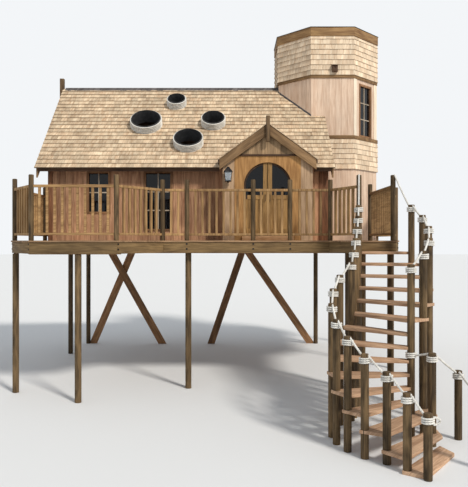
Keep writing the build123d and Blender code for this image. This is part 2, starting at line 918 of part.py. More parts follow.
# Finials: square posts at the peaks of the left gable and of the porch
porch_barge_front = porch_roof_front - barge_thickness
with BuildPart() as finials:
    box_between(
        (roof_left - barge_thickness - finial_size, ridge_y - finial_size / 2, deck_top + finial_low),
        (roof_left - barge_thickness, ridge_y + finial_size / 2, deck_top + finial_high),
    )
    box_between(
        (porch_x - porch_finial_size / 2, porch_barge_front - porch_finial_thickness, deck_top + porch_finial_low),
        (porch_x + porch_finial_size / 2, porch_barge_front, deck_top + porch_finial_high),
    )
finish(finials, "finials")


def window_unit(plane, low, high, left, right, depth):
    """Frame in its opening, standing a little proud of the outer face, in the part being built."""
    with BuildSketch(plane.offset(window_proud)) as ring:
        with Locations(((left + right) / 2, (low + high) / 2)):
            Rectangle(right - left, high - low)
            Rectangle(right - left - 2 * window_frame, high - low - 2 * window_frame, mode=Mode.SUBTRACT)
    extrude(ring.sketch, amount=-depth - window_proud)


def window_pane(plane, low, high, left, right, depth):
    """One sheet of glass in the middle of a frame, in the part being built."""
    with BuildSketch(plane.offset(-(depth - glass_thickness) / 2)) as sheet:
        with Locations(((left + right) / 2, (low + high) / 2)):
            Rectangle(right - left - 2 * window_frame, high - low - 2 * window_frame)
    extrude(sheet.sketch, amount=-glass_thickness)


outside_rear = Plane(origin=(0, cabin_rear, 0), x_dir=(-1, 0, 0), z_dir=(0, 1, 0))
outside_left = Plane(origin=(cabin_left, 0, 0), x_dir=(0, -1, 0), z_dir=(-1, 0, 0))
outside_tower = tower_face(window_facing, 0)
window_places = [
    (front_plane, small_sill, small_head, window_left, window_right, wall),
    (front_plane, tall_sill, small_head, tall_window_left, tall_window_right, wall),
    (outside_rear, small_sill, small_head, -window_right, -window_left, wall),
    (outside_rear, small_sill, small_head, -mirror_window_right, window_width - mirror_window_right, wall),
    (outside_left, small_sill, small_head, -gable_window_high_y, -gable_window_low_y, wall),
    (
        outside_tower,
        deck_top + tower_window_low,
        deck_top + tower_window_high,
        -tower_window_width / 2,
        tower_window_width / 2,
        tower_wall,
    ),
]
with BuildPart() as window_frames:
    for place in window_places:
        window_unit(*place)
finish(window_frames, "window_frames")

with BuildPart() as window_glass:
    for place in window_places:
        window_pane(*place)
finish(window_glass, "window_glass")

# Double doors: two boarded leaves under one round arch, glazed above the middle rail
leaf_radius = door_half_width - door_gap
leaf_low = room_floor + door_floor_gap
leaf_outer_y = porch_back - door_setback - door_thickness
leaf_inner_y = porch_back - door_setback
pane_low = deck_top + door_rail_height + stile_width


def draw_arch(radius, low):
    """Round-headed outline centred on the doorway, from a level up to the arch."""
    with Locations((porch_x, door_spring_z)):
        Circle(radius)
    with Locations((porch_x, (low + door_spring_z) / 2)):
        Rectangle(2 * radius, door_spring_z - low)
    with Locations((porch_x, low - radius)):
        Rectangle(2 * radius, 2 * radius, mode=Mode.SUBTRACT)


def keep_half(side, edge):
    """Cut away the outline on the far side of the meeting edge."""
    with Locations((porch_x + side * (edge - door_half_width), door_spring_z)):
        Rectangle(2 * door_half_width, far, mode=Mode.SUBTRACT)


def pane_outline(side, clearance):
    """Glazed opening of one leaf, less a clearance all round."""
    with BuildSketch(Plane.XZ, mode=Mode.PRIVATE) as pane:
        draw_arch(leaf_radius - outer_stile - clearance, pane_low + clearance)
        keep_half(side, door_meeting_gap / 2 + stile_width + clearance)
    return pane.sketch


for name, side in (("left_door", -1), ("right_door", 1)):
    with BuildPart() as door_leaf:
        with BuildSketch(Plane.XZ.offset(-leaf_outer_y)):
            draw_arch(leaf_radius, leaf_low)
            keep_half(side, door_meeting_gap / 2)
            add(pane_outline(side, 0), mode=Mode.SUBTRACT)
        extrude(amount=-door_thickness)
    finish(door_leaf, name)
    with BuildPart() as door_pane:
        with BuildSketch(Plane.XZ.offset(-(leaf_outer_y + door_thickness / 2 - glass_thickness / 2))):
            add(pane_outline(side, seat_gap))
        extrude(amount=-glass_thickness)
    finish(door_pane, name + "_glass")

# Door hinges: a strap with an eye on each leaf, hung on a pin fixed to the porch wall
hinge_levels = [deck_top + hinge_low, deck_top + hinge_high]
pivot_y = porch_back + hinge_offset
eye_radius = hinge_eye_diameter / 2
pin_radius = hinge_pin_diameter / 2
leaf_face = leaf_inner_y - pivot_y
strap_face = leaf_face + hinge_strap_thickness
for name, side in (("left_door_hinges", -1), ("right_door_hinges", 1)):
    pivot_x = porch_x + side * door_half_width
    inward = -side
    with BuildPart() as door_hinges:
        for level in hinge_levels:
            with BuildSketch(Plane(origin=(pivot_x, pivot_y, level), x_dir=(1, 0, 0), z_dir=(0, 0, 1))):
                Circle(eye_radius)
                Polygon(
                    (inward * door_gap, leaf_face),
                    (inward * hinge_heel, leaf_face),
                    (inward * hinge_heel, strap_face),
                    (inward * hinge_neck, hinge_neck_rise),
                    (inward * door_gap, -hinge_neck),
                    align=None,
                )
                strap_middle = (hinge_heel + hinge_strap_length) / 2
                with Locations((inward * strap_middle, (leaf_face + strap_face) / 2)):
                    Rectangle(hinge_strap_length - hinge_heel, hinge_strap_thickness)
                Circle(pin_radius + hinge_pin_clearance, mode=Mode.SUBTRACT)
            extrude(amount=hinge_height)
    finish(door_hinges, name)

with BuildPart() as door_hinge_pins:
    for side in (-1, 1):
        pivot_x = porch_x + side * door_half_width
        for level in hinge_levels:
            with BuildSketch(Plane(origin=(pivot_x, pivot_y, level - seat_gap), x_dir=(1, 0, 0), z_dir=(0, 0, 1))):
                Circle(pin_radius + hinge_pin_shoulder)
                with Locations((side * hinge_plate_width / 2, -hinge_offset / 2)):
                    Rectangle(hinge_plate_width, hinge_offset)
            extrude(amount=-hinge_plate_thickness)
            with BuildSketch(Plane(origin=(pivot_x, pivot_y, level - seat_gap), x_dir=(1, 0, 0), z_dir=(0, 0, 1))):
                Circle(pin_radius)
            extrude(amount=hinge_height + hinge_pin_above)
finish(door_hinge_pins, "door_hinge_pins")

# Lantern beside the doors: back plate, arm, a body that tapers downwards and a pyramid cap
lantern_top = deck_top + lantern_high
lantern_base = deck_top + lantern_low
lantern_shoulder = lantern_top - lantern_cap_height
lantern_y = porch_front - lantern_standoff


def lantern_square(height, width):
    """Level square section of the lantern."""
    with BuildSketch(Plane.XY.offset(height)) as section:
        with Locations((lantern_x, lantern_y)):
            Rectangle(width, width)
    return section.sketch


with BuildPart() as porch_lantern:
    box_between(
        (
            lantern_x - lantern_plate_width / 2,
            porch_front - lantern_plate_thickness,
            lantern_base + lantern_plate_low,
        ),
        (lantern_x + lantern_plate_width / 2, porch_front, lantern_top - lantern_plate_drop),
    )
    box_between(
        (lantern_x - lantern_arm / 2, lantern_y, lantern_shoulder),
        (lantern_x + lantern_arm / 2, porch_front - lantern_plate_thickness, lantern_shoulder + lantern_arm),
    )
    loft([lantern_square(lantern_base, lantern_foot_width), lantern_square(lantern_shoulder, lantern_width)])
    loft([lantern_square(lantern_shoulder, lantern_cap_width), lantern_square(lantern_top, lantern_tip_width)])
finish(porch_lantern, "porch_lantern")

# Nest box on the tower's front wall: its top falls to the front under a lid, with a round hole below it
nest_box_back = tower_y - tower_outer
nest_box_front = nest_box_back - nest_box_depth
nest_box_top = tower_top - nest_box_below_top
nest_box_floor = nest_box_top - nest_box_height
with BuildPart() as nest_box:
    with BuildSketch(Plane.YZ.offset(nest_box_x - nest_box_width / 2)):
        Polygon(
            (nest_box_back, nest_box_floor),
            (nest_box_back, nest_box_top),
            (nest_box_front, nest_box_top - nest_box_fall),
            (nest_box_front, nest_box_floor),
            align=None,
        )
    extrude(amount=nest_box_width)
    with BuildSketch(Plane.XZ.offset(-nest_box_front)):
        with Locations((nest_box_x, nest_box_top - nest_box_fall - nest_box_hole_drop)):
            Circle(nest_box_hole / 2)
    extrude(amount=-nest_box_board, mode=Mode.SUBTRACT)
    with BuildSketch(Plane.YZ.offset(nest_box_x - nest_box_width / 2 - nest_box_board)):
        Polygon(
            (nest_box_back, nest_box_top + seat_gap),
            (nest_box_back, nest_box_top + nest_box_board),
            (nest_box_front - nest_box_fall, nest_box_top - nest_box_fall),
            (nest_box_front - nest_box_fall, nest_box_top - 2 * nest_box_fall + nest_box_board + seat_gap),
            (nest_box_front, nest_box_top - nest_box_fall + seat_gap),
            align=None,
        )
    extrude(amount=nest_box_width + 2 * nest_box_board)
finish(nest_box, "nest_box")

# Stair: the lower flight winds round a newel, and the upper flight curves from the newel to the landing.
# A tread runs from one post of its flight's outer line to the next, and every post goes down to the ground.
turn_newel = (lower_turn_x, lower_turn_y)
lower_left_guide = CenterArc(turn_newel, lower_turn_radius, lower_turn_start, -lower_turn_angle)
lower_left_end = lower_left_guide @ 1
upper_left_guide = ThreePointArc(
    (lower_left_end.X, lower_left_end.Y), upper_left_middle, (landing_left + stair_top_margin, landing_front)
)
upper_right_guide = ThreePointArc(turn_newel, upper_right_middle, (landing_right - stair_top_margin, landing_front))
top_tread = riser_count - 1
upper_steps = top_tread - lower_treads_count


def left_point(number):
    """Place of the left post at the far end of a tread, and of the landing's edge after the last one."""
    if number < 1:
        return foot_left_posts[number + 1]
    if number <= lower_treads_count:
        spot = lower_left_guide @ ((number - 1) / (lower_treads_count - 1))
    else:
        spot = upper_left_guide @ ((number - lower_treads_count) / upper_steps)
    return (spot.X, spot.Y)


def right_point(number):
    """The same along the right side of the upper flight, which starts at the newel."""
    spot = upper_right_guide @ ((number - lower_treads_count) / upper_steps)
    return (spot.X, spot.Y)


def right_ends(number):
    """Near and far right corners of a tread: the winders narrow to a short end against the newel."""
    if number > lower_treads_count:
        far_end = towards(right_point(number), left_point(number), -tread_reach)
        return right_point(number - 1), far_end
    if number + 1 < len(foot_right_ends):
        return foot_right_ends[number], foot_right_ends[number + 1]
    outer_middle = (Vector(*left_point(number - 1)) + Vector(*left_point(number))) / 2
    inward = (Vector(*turn_newel) - outer_middle).normalized()
    half_end = Vector(-inward.Y, inward.X) * (winder_end / 2)
    near_end = Vector(*turn_newel) - half_end
    far_end = Vector(*turn_newel) + half_end
    return (near_end.X, near_end.Y), (far_end.X, far_end.Y)


stair_post_radius = stair_post_diameter / 2
left_posts = [
    (left_point(number), riser * number + stair_post_above) for number in range(1 - len(foot_left_posts), top_tread)
]
lower_right_posts = [
    (foot_right_post, stair_post_above - riser),
    (outer_post_place, stair_post_above),
    (inner_post_place, inner_post_rise * riser + stair_post_above),
]
upper_right_posts = [
    (right_point(number), riser * number + stair_post_above) for number in range(lower_treads_count, top_tread)
]
all_posts = left_posts + lower_right_posts + upper_right_posts
with BuildPart() as stair_posts:
    for place, height in all_posts:
        with BuildSketch(Plane.XY):
            with Locations(place):
                Circle(stair_post_radius)
        extrude(amount=height)
        chamfer(stair_posts.edges(Select.LAST).group_by(Axis.Z)[-1], length=pole_top_chamfer)
finish(stair_posts, "stair_posts")

lower_flight = range(0, 1 + lower_treads_count)
upper_flight = range(1 + lower_treads_count, riser_count)
for name, flight in (("lower_treads", lower_flight), ("upper_treads", upper_flight)):
    with BuildPart() as treads:
        for number in flight:
            lap = rim_setback if number == top_tread else tread_lap
            near_left = left_point(number - 1)
            near_right, far_right = right_ends(number)
            far_left = towards(left_point(number), far_right, -tread_reach)
            across = (Vector(*far_right) - Vector(*far_left)).normalized()
            back = Vector(-across.Y, across.X) * lap
            with BuildSketch(Plane.XY.offset(max(riser * number, tread_thickness))):
                Polygon(
                    near_left,
                    near_right,
                    (far_right[0] + back.X, far_right[1] + back.Y),
                    (far_left[0] + back.X, far_left[1] + back.Y),
                    align=None,
                )
                for place, height in all_posts:
                    with Locations(place):
                        Circle(stair_post_radius + seat_gap, mode=Mode.SUBTRACT)
            extrude(amount=-tread_thickness)
    finish(treads, name)

# Handrail ropes: turns round each post near its top, and a taut length from post side to post side
wrap_height = rope_diameter * rope_turns
wrap_inner = stair_post_radius + seat_gap
wrap_outer = wrap_inner + rope_diameter
wrap_drop = rope_below_top + wrap_height / 2
newel_wrap = newel_wrap_level * riser - tread_thickness / 2
wraps = [(place, height - wrap_drop) for place, height in all_posts] + [(turn_newel, newel_wrap)]
with BuildPart() as rope_wraps:
    for place, middle in wraps:
        with BuildSketch(Plane.XY.offset(middle - wrap_height / 2)):
            with Locations(place):
                Circle(wrap_outer)
                Circle(wrap_inner, mode=Mode.SUBTRACT)
        extrude(amount=wrap_height)
finish(rope_wraps, "rope_wraps")

landing_newels = [corner_newels[landing_side], corner_newels[landing_side + 1]]
landing_rope_height = deck_top + newel_height - rail_rope_drop
left_line = [(place, height - rail_rope_drop) for place, height in left_posts]
left_line.append((landing_newels[0], landing_rope_height))
lower_right_line = [(place, height - rail_rope_drop) for place, height in lower_right_posts]
lower_right_line.append((turn_newel, newel_wrap))
right_line = [(place, height - rail_rope_drop) for place, height in upper_right_posts]
right_line.append((landing_newels[1], landing_rope_height))
with BuildPart() as handrail_ropes:
    for line in (left_line, lower_right_line, right_line):
        for (start, start_z), (end, end_z) in zip(line, line[1:]):
            low_end = Vector(*towards(start, end, stair_post_radius), start_z)
            run = Vector(*towards(end, start, stair_post_radius), end_z) - low_end
            lead = run.normalized() * rope_diameter
            with BuildSketch(Plane(origin=low_end - lead, z_dir=run)):
                Circle(rope_diameter / 2)
            extrude(amount=run.length + 2 * rope_diameter)
    with BuildSketch(Plane.XY):
        for place, height in all_posts:
            with Locations(place):
                Circle(stair_post_radius + seat_gap)
        for place in landing_newels:
            with Locations(place):
                Circle(newel_radius + seat_gap)
    extrude(amount=far, mode=Mode.SUBTRACT)
    for place, middle in wraps:
        with BuildSketch(Plane.XY.offset(middle - wrap_height / 2 - seat_gap)):
            with Locations(place):
                Circle(wrap_outer + seat_gap)
        extrude(amount=wrap_height + 2 * seat_gap, mode=Mode.SUBTRACT)
finish(handrail_ropes, "handrail_ropes")
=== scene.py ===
import math
import random

import bmesh
import bpy
import numpy as np
from mathutils import Matrix, Vector


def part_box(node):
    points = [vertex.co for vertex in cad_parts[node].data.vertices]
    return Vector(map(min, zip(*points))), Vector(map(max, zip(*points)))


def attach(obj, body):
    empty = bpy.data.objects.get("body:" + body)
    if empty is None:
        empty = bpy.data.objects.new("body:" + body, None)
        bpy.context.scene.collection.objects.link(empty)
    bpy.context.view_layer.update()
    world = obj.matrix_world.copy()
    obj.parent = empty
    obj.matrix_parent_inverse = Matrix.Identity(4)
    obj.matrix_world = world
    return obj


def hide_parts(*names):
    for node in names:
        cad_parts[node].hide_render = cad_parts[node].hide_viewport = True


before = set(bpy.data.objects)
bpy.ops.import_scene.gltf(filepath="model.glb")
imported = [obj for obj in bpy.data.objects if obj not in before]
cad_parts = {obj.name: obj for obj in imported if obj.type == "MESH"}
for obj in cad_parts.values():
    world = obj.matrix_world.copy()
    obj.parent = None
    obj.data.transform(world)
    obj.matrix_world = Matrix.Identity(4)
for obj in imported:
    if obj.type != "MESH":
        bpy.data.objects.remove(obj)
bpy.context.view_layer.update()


# Camera: level, at the height of the deck and straight in front of the porch, as the photograph was taken.
# The shift carries the photograph's vanishing point, a little left of and above the middle of the picture.
def place_object(name, data):
    """A new object in the scene."""
    made = bpy.data.objects.new(name, data)
    bpy.context.scene.collection.objects.link(made)
    return made


photo_width, photo_height = 468, 487
focal_pixels = 600
vanishing_x, vanishing_y = 230, 240.5
lens = bpy.data.cameras.new("photo_camera")
lens.sensor_width = 36
lens.lens = focal_pixels * lens.sensor_width / photo_height
lens.shift_x = (photo_width / 2 - vanishing_x) / photo_height
lens.shift_y = (vanishing_y - photo_height / 2) / photo_height
lens.clip_end = 400
camera = place_object("photo_camera", lens)
camera.location = (0.86, -12.40, 3.05)
camera.rotation_euler = (math.radians(90), 0, 0)
bpy.context.scene.camera = camera
bpy.context.scene.view_settings.view_transform = "Standard"


# Studio: a wide pale floor, soft light from all round and one large soft lamp high on the right.
# The pale backdrop is the colour that the camera sees behind the object, not more light on it.
def add_node(tree, kind, sockets, **settings):
    """Add a shader node and return its outputs; a socket takes a value or another node's output."""
    made = tree.nodes.new(kind)
    for key, value in settings.items():
        setattr(made, key, value)
    for key, value in sockets.items():
        if isinstance(value, bpy.types.NodeSocket):
            tree.links.new(value, made.inputs[key])
        else:
            made.inputs[key].default_value = value
    return made.outputs


def calculate(tree, operation, *values):
    """A sum on values or other nodes' outputs."""
    return add_node(tree, "ShaderNodeMath", dict(enumerate(values)), operation=operation)[0]


def blank_material(name):
    """A new material, and its node tree with nothing in it."""
    made = bpy.data.materials.new(name)
    made.use_nodes = True
    made.node_tree.nodes.clear()
    return made, made.node_tree


def add_surface(tree, sockets):
    """The shader in which a material ends."""
    shader = add_node(tree, "ShaderNodeBsdfPrincipled", sockets)[0]
    add_node(tree, "ShaderNodeOutputMaterial", {"Surface": shader})


def add_solid(add, **settings):
    """A basic solid whose place, turn and size are taken into its mesh."""
    bpy.ops.object.select_all(action="DESELECT")
    add(**settings)
    bpy.ops.object.transform_apply(location=True, rotation=True, scale=True)
    return bpy.context.object


sky = bpy.data.worlds.new("studio_sky")
bpy.context.scene.world = sky
sky.use_nodes = True
sky_tree = sky.node_tree
sky_tree.nodes.clear()
seen = add_node(sky_tree, "ShaderNodeLightPath", {})
soft_light = add_node(sky_tree, "ShaderNodeBackground", {"Color": (0.90, 0.95, 1.0, 1), "Strength": 0.54})
backdrop = add_node(sky_tree, "ShaderNodeBackground", {"Color": (0.90, 0.92, 0.94, 1), "Strength": 1.0})
mirrored = calculate(sky_tree, "MAXIMUM", seen["Is Glossy Ray"], seen["Is Transmission Ray"])
shown = calculate(sky_tree, "MAXIMUM", seen["Is Camera Ray"], mirrored)
sky_mix = add_node(sky_tree, "ShaderNodeMixShader", {0: shown, 1: soft_light[0], 2: backdrop[0]})
add_node(sky_tree, "ShaderNodeOutputWorld", {"Surface": sky_mix[0]})
sunlight = bpy.data.lights.new("studio_lamp", "SUN")
sunlight.energy = 2.55
sunlight.color = (1.0, 0.95, 0.87)
sunlight.angle = math.radians(9)
place_object("studio_lamp", sunlight).rotation_euler = (math.radians(49), 0, math.radians(38))
floor = add_solid(bpy.ops.mesh.primitive_plane_add, size=160, location=(0, 40, 0))
floor.name = "studio_floor"
floor_paint, floor_tree = blank_material("studio_floor")
add_surface(floor_tree, {"Base Color": (0.80, 0.81, 0.82, 1), "Roughness": 0.9})
floor.data.materials.append(floor_paint)


# Ground posts, stair posts and newels: peeled round poles, dark with age and checked along their length.
# Each stands on end; the tops are sawn level with the sharp edge taken off.
def paint(red, green, blue):
    """A colour written as it looks on a screen, 0 to 255, as the linear values that a shader takes."""
    shares = [part / 255 for part in (red, green, blue)]
    linear = [share / 12.92 if share <= 0.04045 else ((share + 0.055) / 1.055) ** 2.4 for share in shares]
    return (*linear, 1)


def mix_colours(tree, factor, first, second):
    """A colour that is the first where the factor is 0 and the second where it is 1."""
    return add_node(tree, "ShaderNodeMix", {0: factor, 6: first, 7: second}, data_type="RGBA")[2]


def add_noise(tree, place, scale, detail, roughness=0.5, distortion=0):
    sockets = {"Vector": place, "Scale": scale, "Detail": detail}
    sockets |= {"Roughness": roughness, "Distortion": distortion}
    return add_node(tree, "ShaderNodeTexNoise", sockets)[0]


def remap(tree, value, low, high, to_low=0, to_high=1):
    """A value carried from one range into another."""
    return add_node(tree, "ShaderNodeMapRange", dict(enumerate((value, low, high, to_low, to_high))))[0]


def add_relief(tree, height, strength, depth):
    """A normal for a height, with the depth of the relief in metres."""
    return add_node(tree, "ShaderNodeBump", {"Height": height, "Strength": strength, "Distance": depth})[0]


def build_timber_grain():
    """Colour, roughness and height of sawn or peeled wood; its fibres run along the first coordinate."""
    group = bpy.data.node_groups.new("timber_grain", "ShaderNodeTree")
    given_kinds = {
        "Grain": "Vector", "Place": "Vector", "Tone": "Float", "Light": "Color", "Dark": "Color",
        "Spread": "Float", "Weather": "Float",
    }
    result_kinds = {"Color": "Color", "Roughness": "Float", "Height": "Float"}
    for way, kinds in (("INPUT", given_kinds), ("OUTPUT", result_kinds)):
        for label, kind in kinds.items():
            group.interface.new_socket(label, in_out=way, socket_type="NodeSocket" + kind)
    given = add_node(group, "NodeGroupInput", {})
    long_place = add_node(group, "ShaderNodeMapping", {"Vector": given["Grain"], "Scale": (1.6, 42, 42)})[0]
    fibres = add_noise(group, long_place, 1.6, 7, 0.62, 0.5)
    wide_place = add_node(group, "ShaderNodeMapping", {"Vector": given["Grain"], "Scale": (0.9, 7, 7)})[0]
    figure = add_noise(group, wide_place, 1.5, 4, 0.5, 1.2)
    both = calculate(group, "ADD", fibres, figure)
    wood = mix_colours(group, remap(group, both, 0.78, 1.22), given["Dark"], given["Light"])
    patches = remap(group, add_noise(group, given["Place"], 1.1, 5, 0.6), 0.35, 0.7, 1, 0)
    stain = calculate(group, "MULTIPLY", patches, given["Weather"])
    tone_shift = calculate(group, "SUBTRACT", given["Tone"], 0.5)
    tone_gain = calculate(group, "MULTIPLY_ADD", tone_shift, given["Spread"], 1.0)
    shade = calculate(group, "SUBTRACT", tone_gain, stain)
    shaded = add_node(group, "ShaderNodeHueSaturation", {"Color": wood, "Value": shade})[0]
    rough = remap(group, fibres, 0.3, 0.7, 0.88, 0.6)
    add_node(group, "NodeGroupOutput", {"Color": shaded, "Roughness": rough, "Height": both})
    return group


timber_grain = build_timber_grain()


def timber(name, light, dark, spread=0.5, weather=0.25, relief=0.0012, mapped=True):
    """A wood finish; a piece without a grain map has its fibres along X."""
    made, tree = blank_material(name)
    place = add_node(tree, "ShaderNodeTexCoord", {})["Object"]
    grain, tone = place, 0.5
    if mapped:
        grain = add_node(tree, "ShaderNodeUVMap", {}, uv_map="grain")[0]
        tone = add_node(tree, "ShaderNodeAttribute", {}, attribute_name="tone")["Fac"]
    sockets = {
        "Grain": grain, "Place": place, "Tone": tone, "Light": paint(*light), "Dark": paint(*dark),
        "Spread": spread, "Weather": weather,
    }
    wood = add_node(tree, "ShaderNodeGroup", sockets, node_tree=timber_grain)
    sockets = {
        "Base Color": wood["Color"], "Roughness": wood["Roughness"], "Specular IOR Level": 0.3,
        "Normal": add_relief(tree, wood["Height"], strength=1.0, depth=relief),
    }
    add_surface(tree, sockets)
    return made


def select_only(piece):
    bpy.ops.object.select_all(action="DESELECT")
    piece.select_set(True)
    bpy.context.view_layer.objects.active = piece


def edit_piece(piece, *steps):
    """Carry out modelling steps in edit mode; before the first, all of the piece is selected."""
    select_only(piece)
    bpy.ops.object.mode_set(mode="EDIT")
    bpy.ops.mesh.select_all(action="SELECT")
    for step in steps:
        step()
    bpy.ops.object.mode_set(mode="OBJECT")


def copy_of_part(node, name):
    """A copy of a part of the frame, its triangles merged back into whole faces."""
    piece = place_object(name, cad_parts[node].data.copy())
    piece.data.materials.clear()
    select_only(piece)
    bpy.ops.mesh.customdata_custom_splitnormals_clear()
    edit_piece(
        piece,
        lambda: bpy.ops.mesh.remove_doubles(threshold=0.00005),
        lambda: bpy.ops.mesh.dissolve_limited(angle_limit=math.radians(1)),
    )
    return piece


def ease_edges(piece, width, segments=2):
    """Take the sharp edges off, as a plane does."""
    select_only(piece)
    easing = piece.modifiers.new("eased", "BEVEL")
    easing.width = width
    easing.segments = segments
    easing.limit_method = "ANGLE"
    easing.angle_limit = math.radians(40)
    easing.use_clamp_overlap = False
    bpy.ops.object.modifier_apply(modifier=easing.name)


def linked_groups(items, neighbours):
    """The faces or corners of a mesh, in groups that hang together."""
    for item in items:
        item.tag = False
    for first in items:
        if first.tag:
            continue
        first.tag = True
        group = [first]
        for item in group:
            for other in neighbours(item):
                if not other.tag:
                    other.tag = True
                    group.append(other)
        yield group


def grain_layers(form):
    """The grain map and the tone of a mesh, made where it has none."""
    maps, tones = form.loops.layers.uv, form.loops.layers.float
    for layers, name in ((maps, "grain"), (tones, "tone")):
        if name not in layers:
            layers.new(name)
    return maps["grain"], tones["tone"]


def grain_shift(chance):
    """A random place in the grain, so that no two timbers are alike."""
    return Vector((chance.uniform(0, 30), chance.uniform(0, 30)))


def write_grain(face, layers, axes, shade, shift):
    """Lay the grain of a face along the first of three axes."""
    along, side, third = axes
    for loop in face.loops:
        spot = loop.vert.co
        loop[layers[0]].uv = Vector((spot.dot(along), spot.dot(side) + 0.7 * spot.dot(third))) + shift
        loop[layers[1]] = shade


def lay_grain(piece, seed):
    """Give each separate timber its own tone, and a grain map along its longest direction."""
    chance = random.Random(seed)
    form = bmesh.new()
    form.from_mesh(piece.data)
    layers = grain_layers(form)
    sticks = linked_groups(form.faces, lambda face: [near for edge in face.edges for near in edge.link_faces])
    for stick in sticks:
        corners = np.array([corner.co for face in stick for corner in face.verts])
        turns = np.linalg.eigh(np.cov(corners.T))[1]
        axes = [Vector(turns[:, number]) for number in (2, 1, 0)]
        shade, shift = chance.random(), grain_shift(chance)
        for face in stick:
            write_grain(face, layers, axes, shade, shift)
    form.to_mesh(piece.data)
    form.free()


def set_piece(piece, finish, slot, *replaced, body="house"):
    """Give a finished piece its material, soft shading and body; the slot is not used."""
    select_only(piece)
    bpy.ops.object.shade_smooth_by_angle(angle=math.radians(35))
    piece.data.materials.clear()
    piece.data.materials.append(finish)
    if replaced:
        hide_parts(*replaced)
    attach(piece, body)


def set_timbers(piece, finish, slot, *replaced, seed, eased, segments=2):
    """Ease the edges of separate timbers, lay their grain and set them."""
    ease_edges(piece, eased, segments)
    lay_grain(piece, seed)
    set_piece(piece, finish, slot, *replaced)


def set_part(node, name, finish, slot, **work):
    """Set a copy of a part made of separate timbers in the part's place."""
    piece = copy_of_part(node, name)
    set_timbers(piece, finish, slot, node, **work)
    return piece


def dress(finish, *nodes):
    """Give parts of the frame that are seen as they are their material."""
    for node in nodes:
        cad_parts[node].data.materials.clear()
        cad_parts[node].data.materials.append(finish)


pole_wood = timber("pole_wood", (128, 104, 72), (68, 54, 36), weather=0.35, relief=0.003)
for node, name, seed in (
    ("ground_posts", "ground_poles", 1),
    ("stair_posts", "stair_poles", 2),
    ("deck_newels", "newels", 3),
):
    set_part(node, name, pole_wood, "round_poles", seed=seed, eased=0.007, segments=3)

# Deck frame: sawn beams, joists and headers under the boards, and the sloping braces of the rear beam.
# The wood is brown and rough from the saw; the joists and headers are seen only from below.
frame_wood = timber("frame_wood", (176, 132, 92), (116, 84, 58), spread=0.45, weather=0.3)
for name, seed in (("beams", 4), ("braces", 5), ("joists", 6)):
    node = "deck_" + name
    set_part(node, name, frame_wood, "deck_timber", seed=seed, eased=0.004)
hidden_wood = timber("hidden_wood", (134, 100, 70), (90, 64, 44), mapped=False)
dress(hidden_wood, "trunk_headers", "floor_battens", "tower_floor")

# Rim: a wide fascia board along each side of the deck, planed and oiled, darker than the boards above it.
# The boards are bolted through to the balustrade posts, whose bolt heads come last.
rim_wood = timber("rim_wood", (150, 122, 82), (102, 80, 52), spread=0.25, weather=0.3)
rim = set_part("deck_rim", "fascia_boards", rim_wood, "deck_timber", seed=7, eased=0.003)


# Deck boards: planks laid side by side from left to right on the joists, with a narrow gap between them.
# The gaps are scored into the sheet that stands for the boards, on its upper side and along its edge.
def pick_faces(piece, test):
    """In edit mode, select just the faces whose centre and normal pass the test."""
    form = bmesh.from_edit_mesh(piece.data)
    for face in form.faces:
        face.select_set(False)
    for face in form.faces:
        if test(face.calc_center_median(), face.normal):
            face.select_set(True)
    bmesh.update_edit_mesh(piece.data)


def push_faces(shift):
    """Extrude the picked faces by a shift."""
    bpy.ops.mesh.extrude_region_move(TRANSFORM_OT_translate={"value": tuple(shift)})


def everywhere(centre):
    return True


def score_boards(piece, outward, across, seams, gap, depth, on_face=everywhere):
    """Score the gaps between boards into the faces that look outward."""
    select_only(piece)
    bpy.ops.object.mode_set(mode="EDIT")
    bpy.ops.mesh.select_mode(type="FACE")
    for seam in seams:
        for edge in (seam - gap / 2, seam + gap / 2):
            pick_faces(piece, lambda centre, normal: on_face(centre))
            bpy.ops.mesh.bisect(plane_co=across * edge, plane_no=across)
    pick_faces(
        piece,
        lambda centre, normal: normal.dot(outward) > 0.99
        and on_face(centre)
        and any(abs(centre.dot(across) - seam) < gap / 2 for seam in seams),
    )
    push_faces(outward * -depth)
    bpy.ops.object.mode_set(mode="OBJECT")


def lay_board_grain(piece, along, across, seams, seed, on_face=everywhere):
    """Give each scored board its own tone and grain."""
    chance = random.Random(seed)
    axes = along, across, along.cross(across)
    shades = [chance.random() for board in range(len(seams) + 1)]
    shifts = [grain_shift(chance) for board in range(len(seams) + 1)]
    form = bmesh.new()
    form.from_mesh(piece.data)
    layers = grain_layers(form)
    for face in form.faces:
        centre = face.calc_center_median()
        if on_face(centre):
            board = sum(centre.dot(across) > seam for seam in seams)
            write_grain(face, layers, axes, shades[board], shifts[board])
    form.to_mesh(piece.data)
    form.free()


def even_seams(low, high, pitch):
    """Places of the gaps between equal boards from one edge to the other."""
    count = max(1, round((high - low) / pitch))
    return [low + (high - low) * number / count for number in range(1, count)]


def set_boards(node, name, finish, slot, outwards, along, across, pitch, gap, depth, seed):
    """Score a part that stands for even boards on the sides that look outward, and set it."""
    low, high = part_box(node)
    seams = even_seams(low.dot(across), high.dot(across), pitch)
    piece = copy_of_part(node, name)
    for outward in outwards:
        score_boards(piece, outward, across, seams, gap, depth)
    lay_board_grain(piece, along, across, seams, seed)
    set_piece(piece, finish, slot, node)


x_axis, y_axis, z_axis = Vector((1, 0, 0)), Vector((0, 1, 0)), Vector((0, 0, 1))
deck_wood = timber("deck_wood", (176, 142, 108), (126, 98, 72), spread=0.3)
set_boards(
    "deck_floor", "deck_boards", deck_wood, "deck_timber", [z_axis], x_axis, y_axis,
    pitch=0.145, gap=0.006, depth=0.014, seed=8,
)

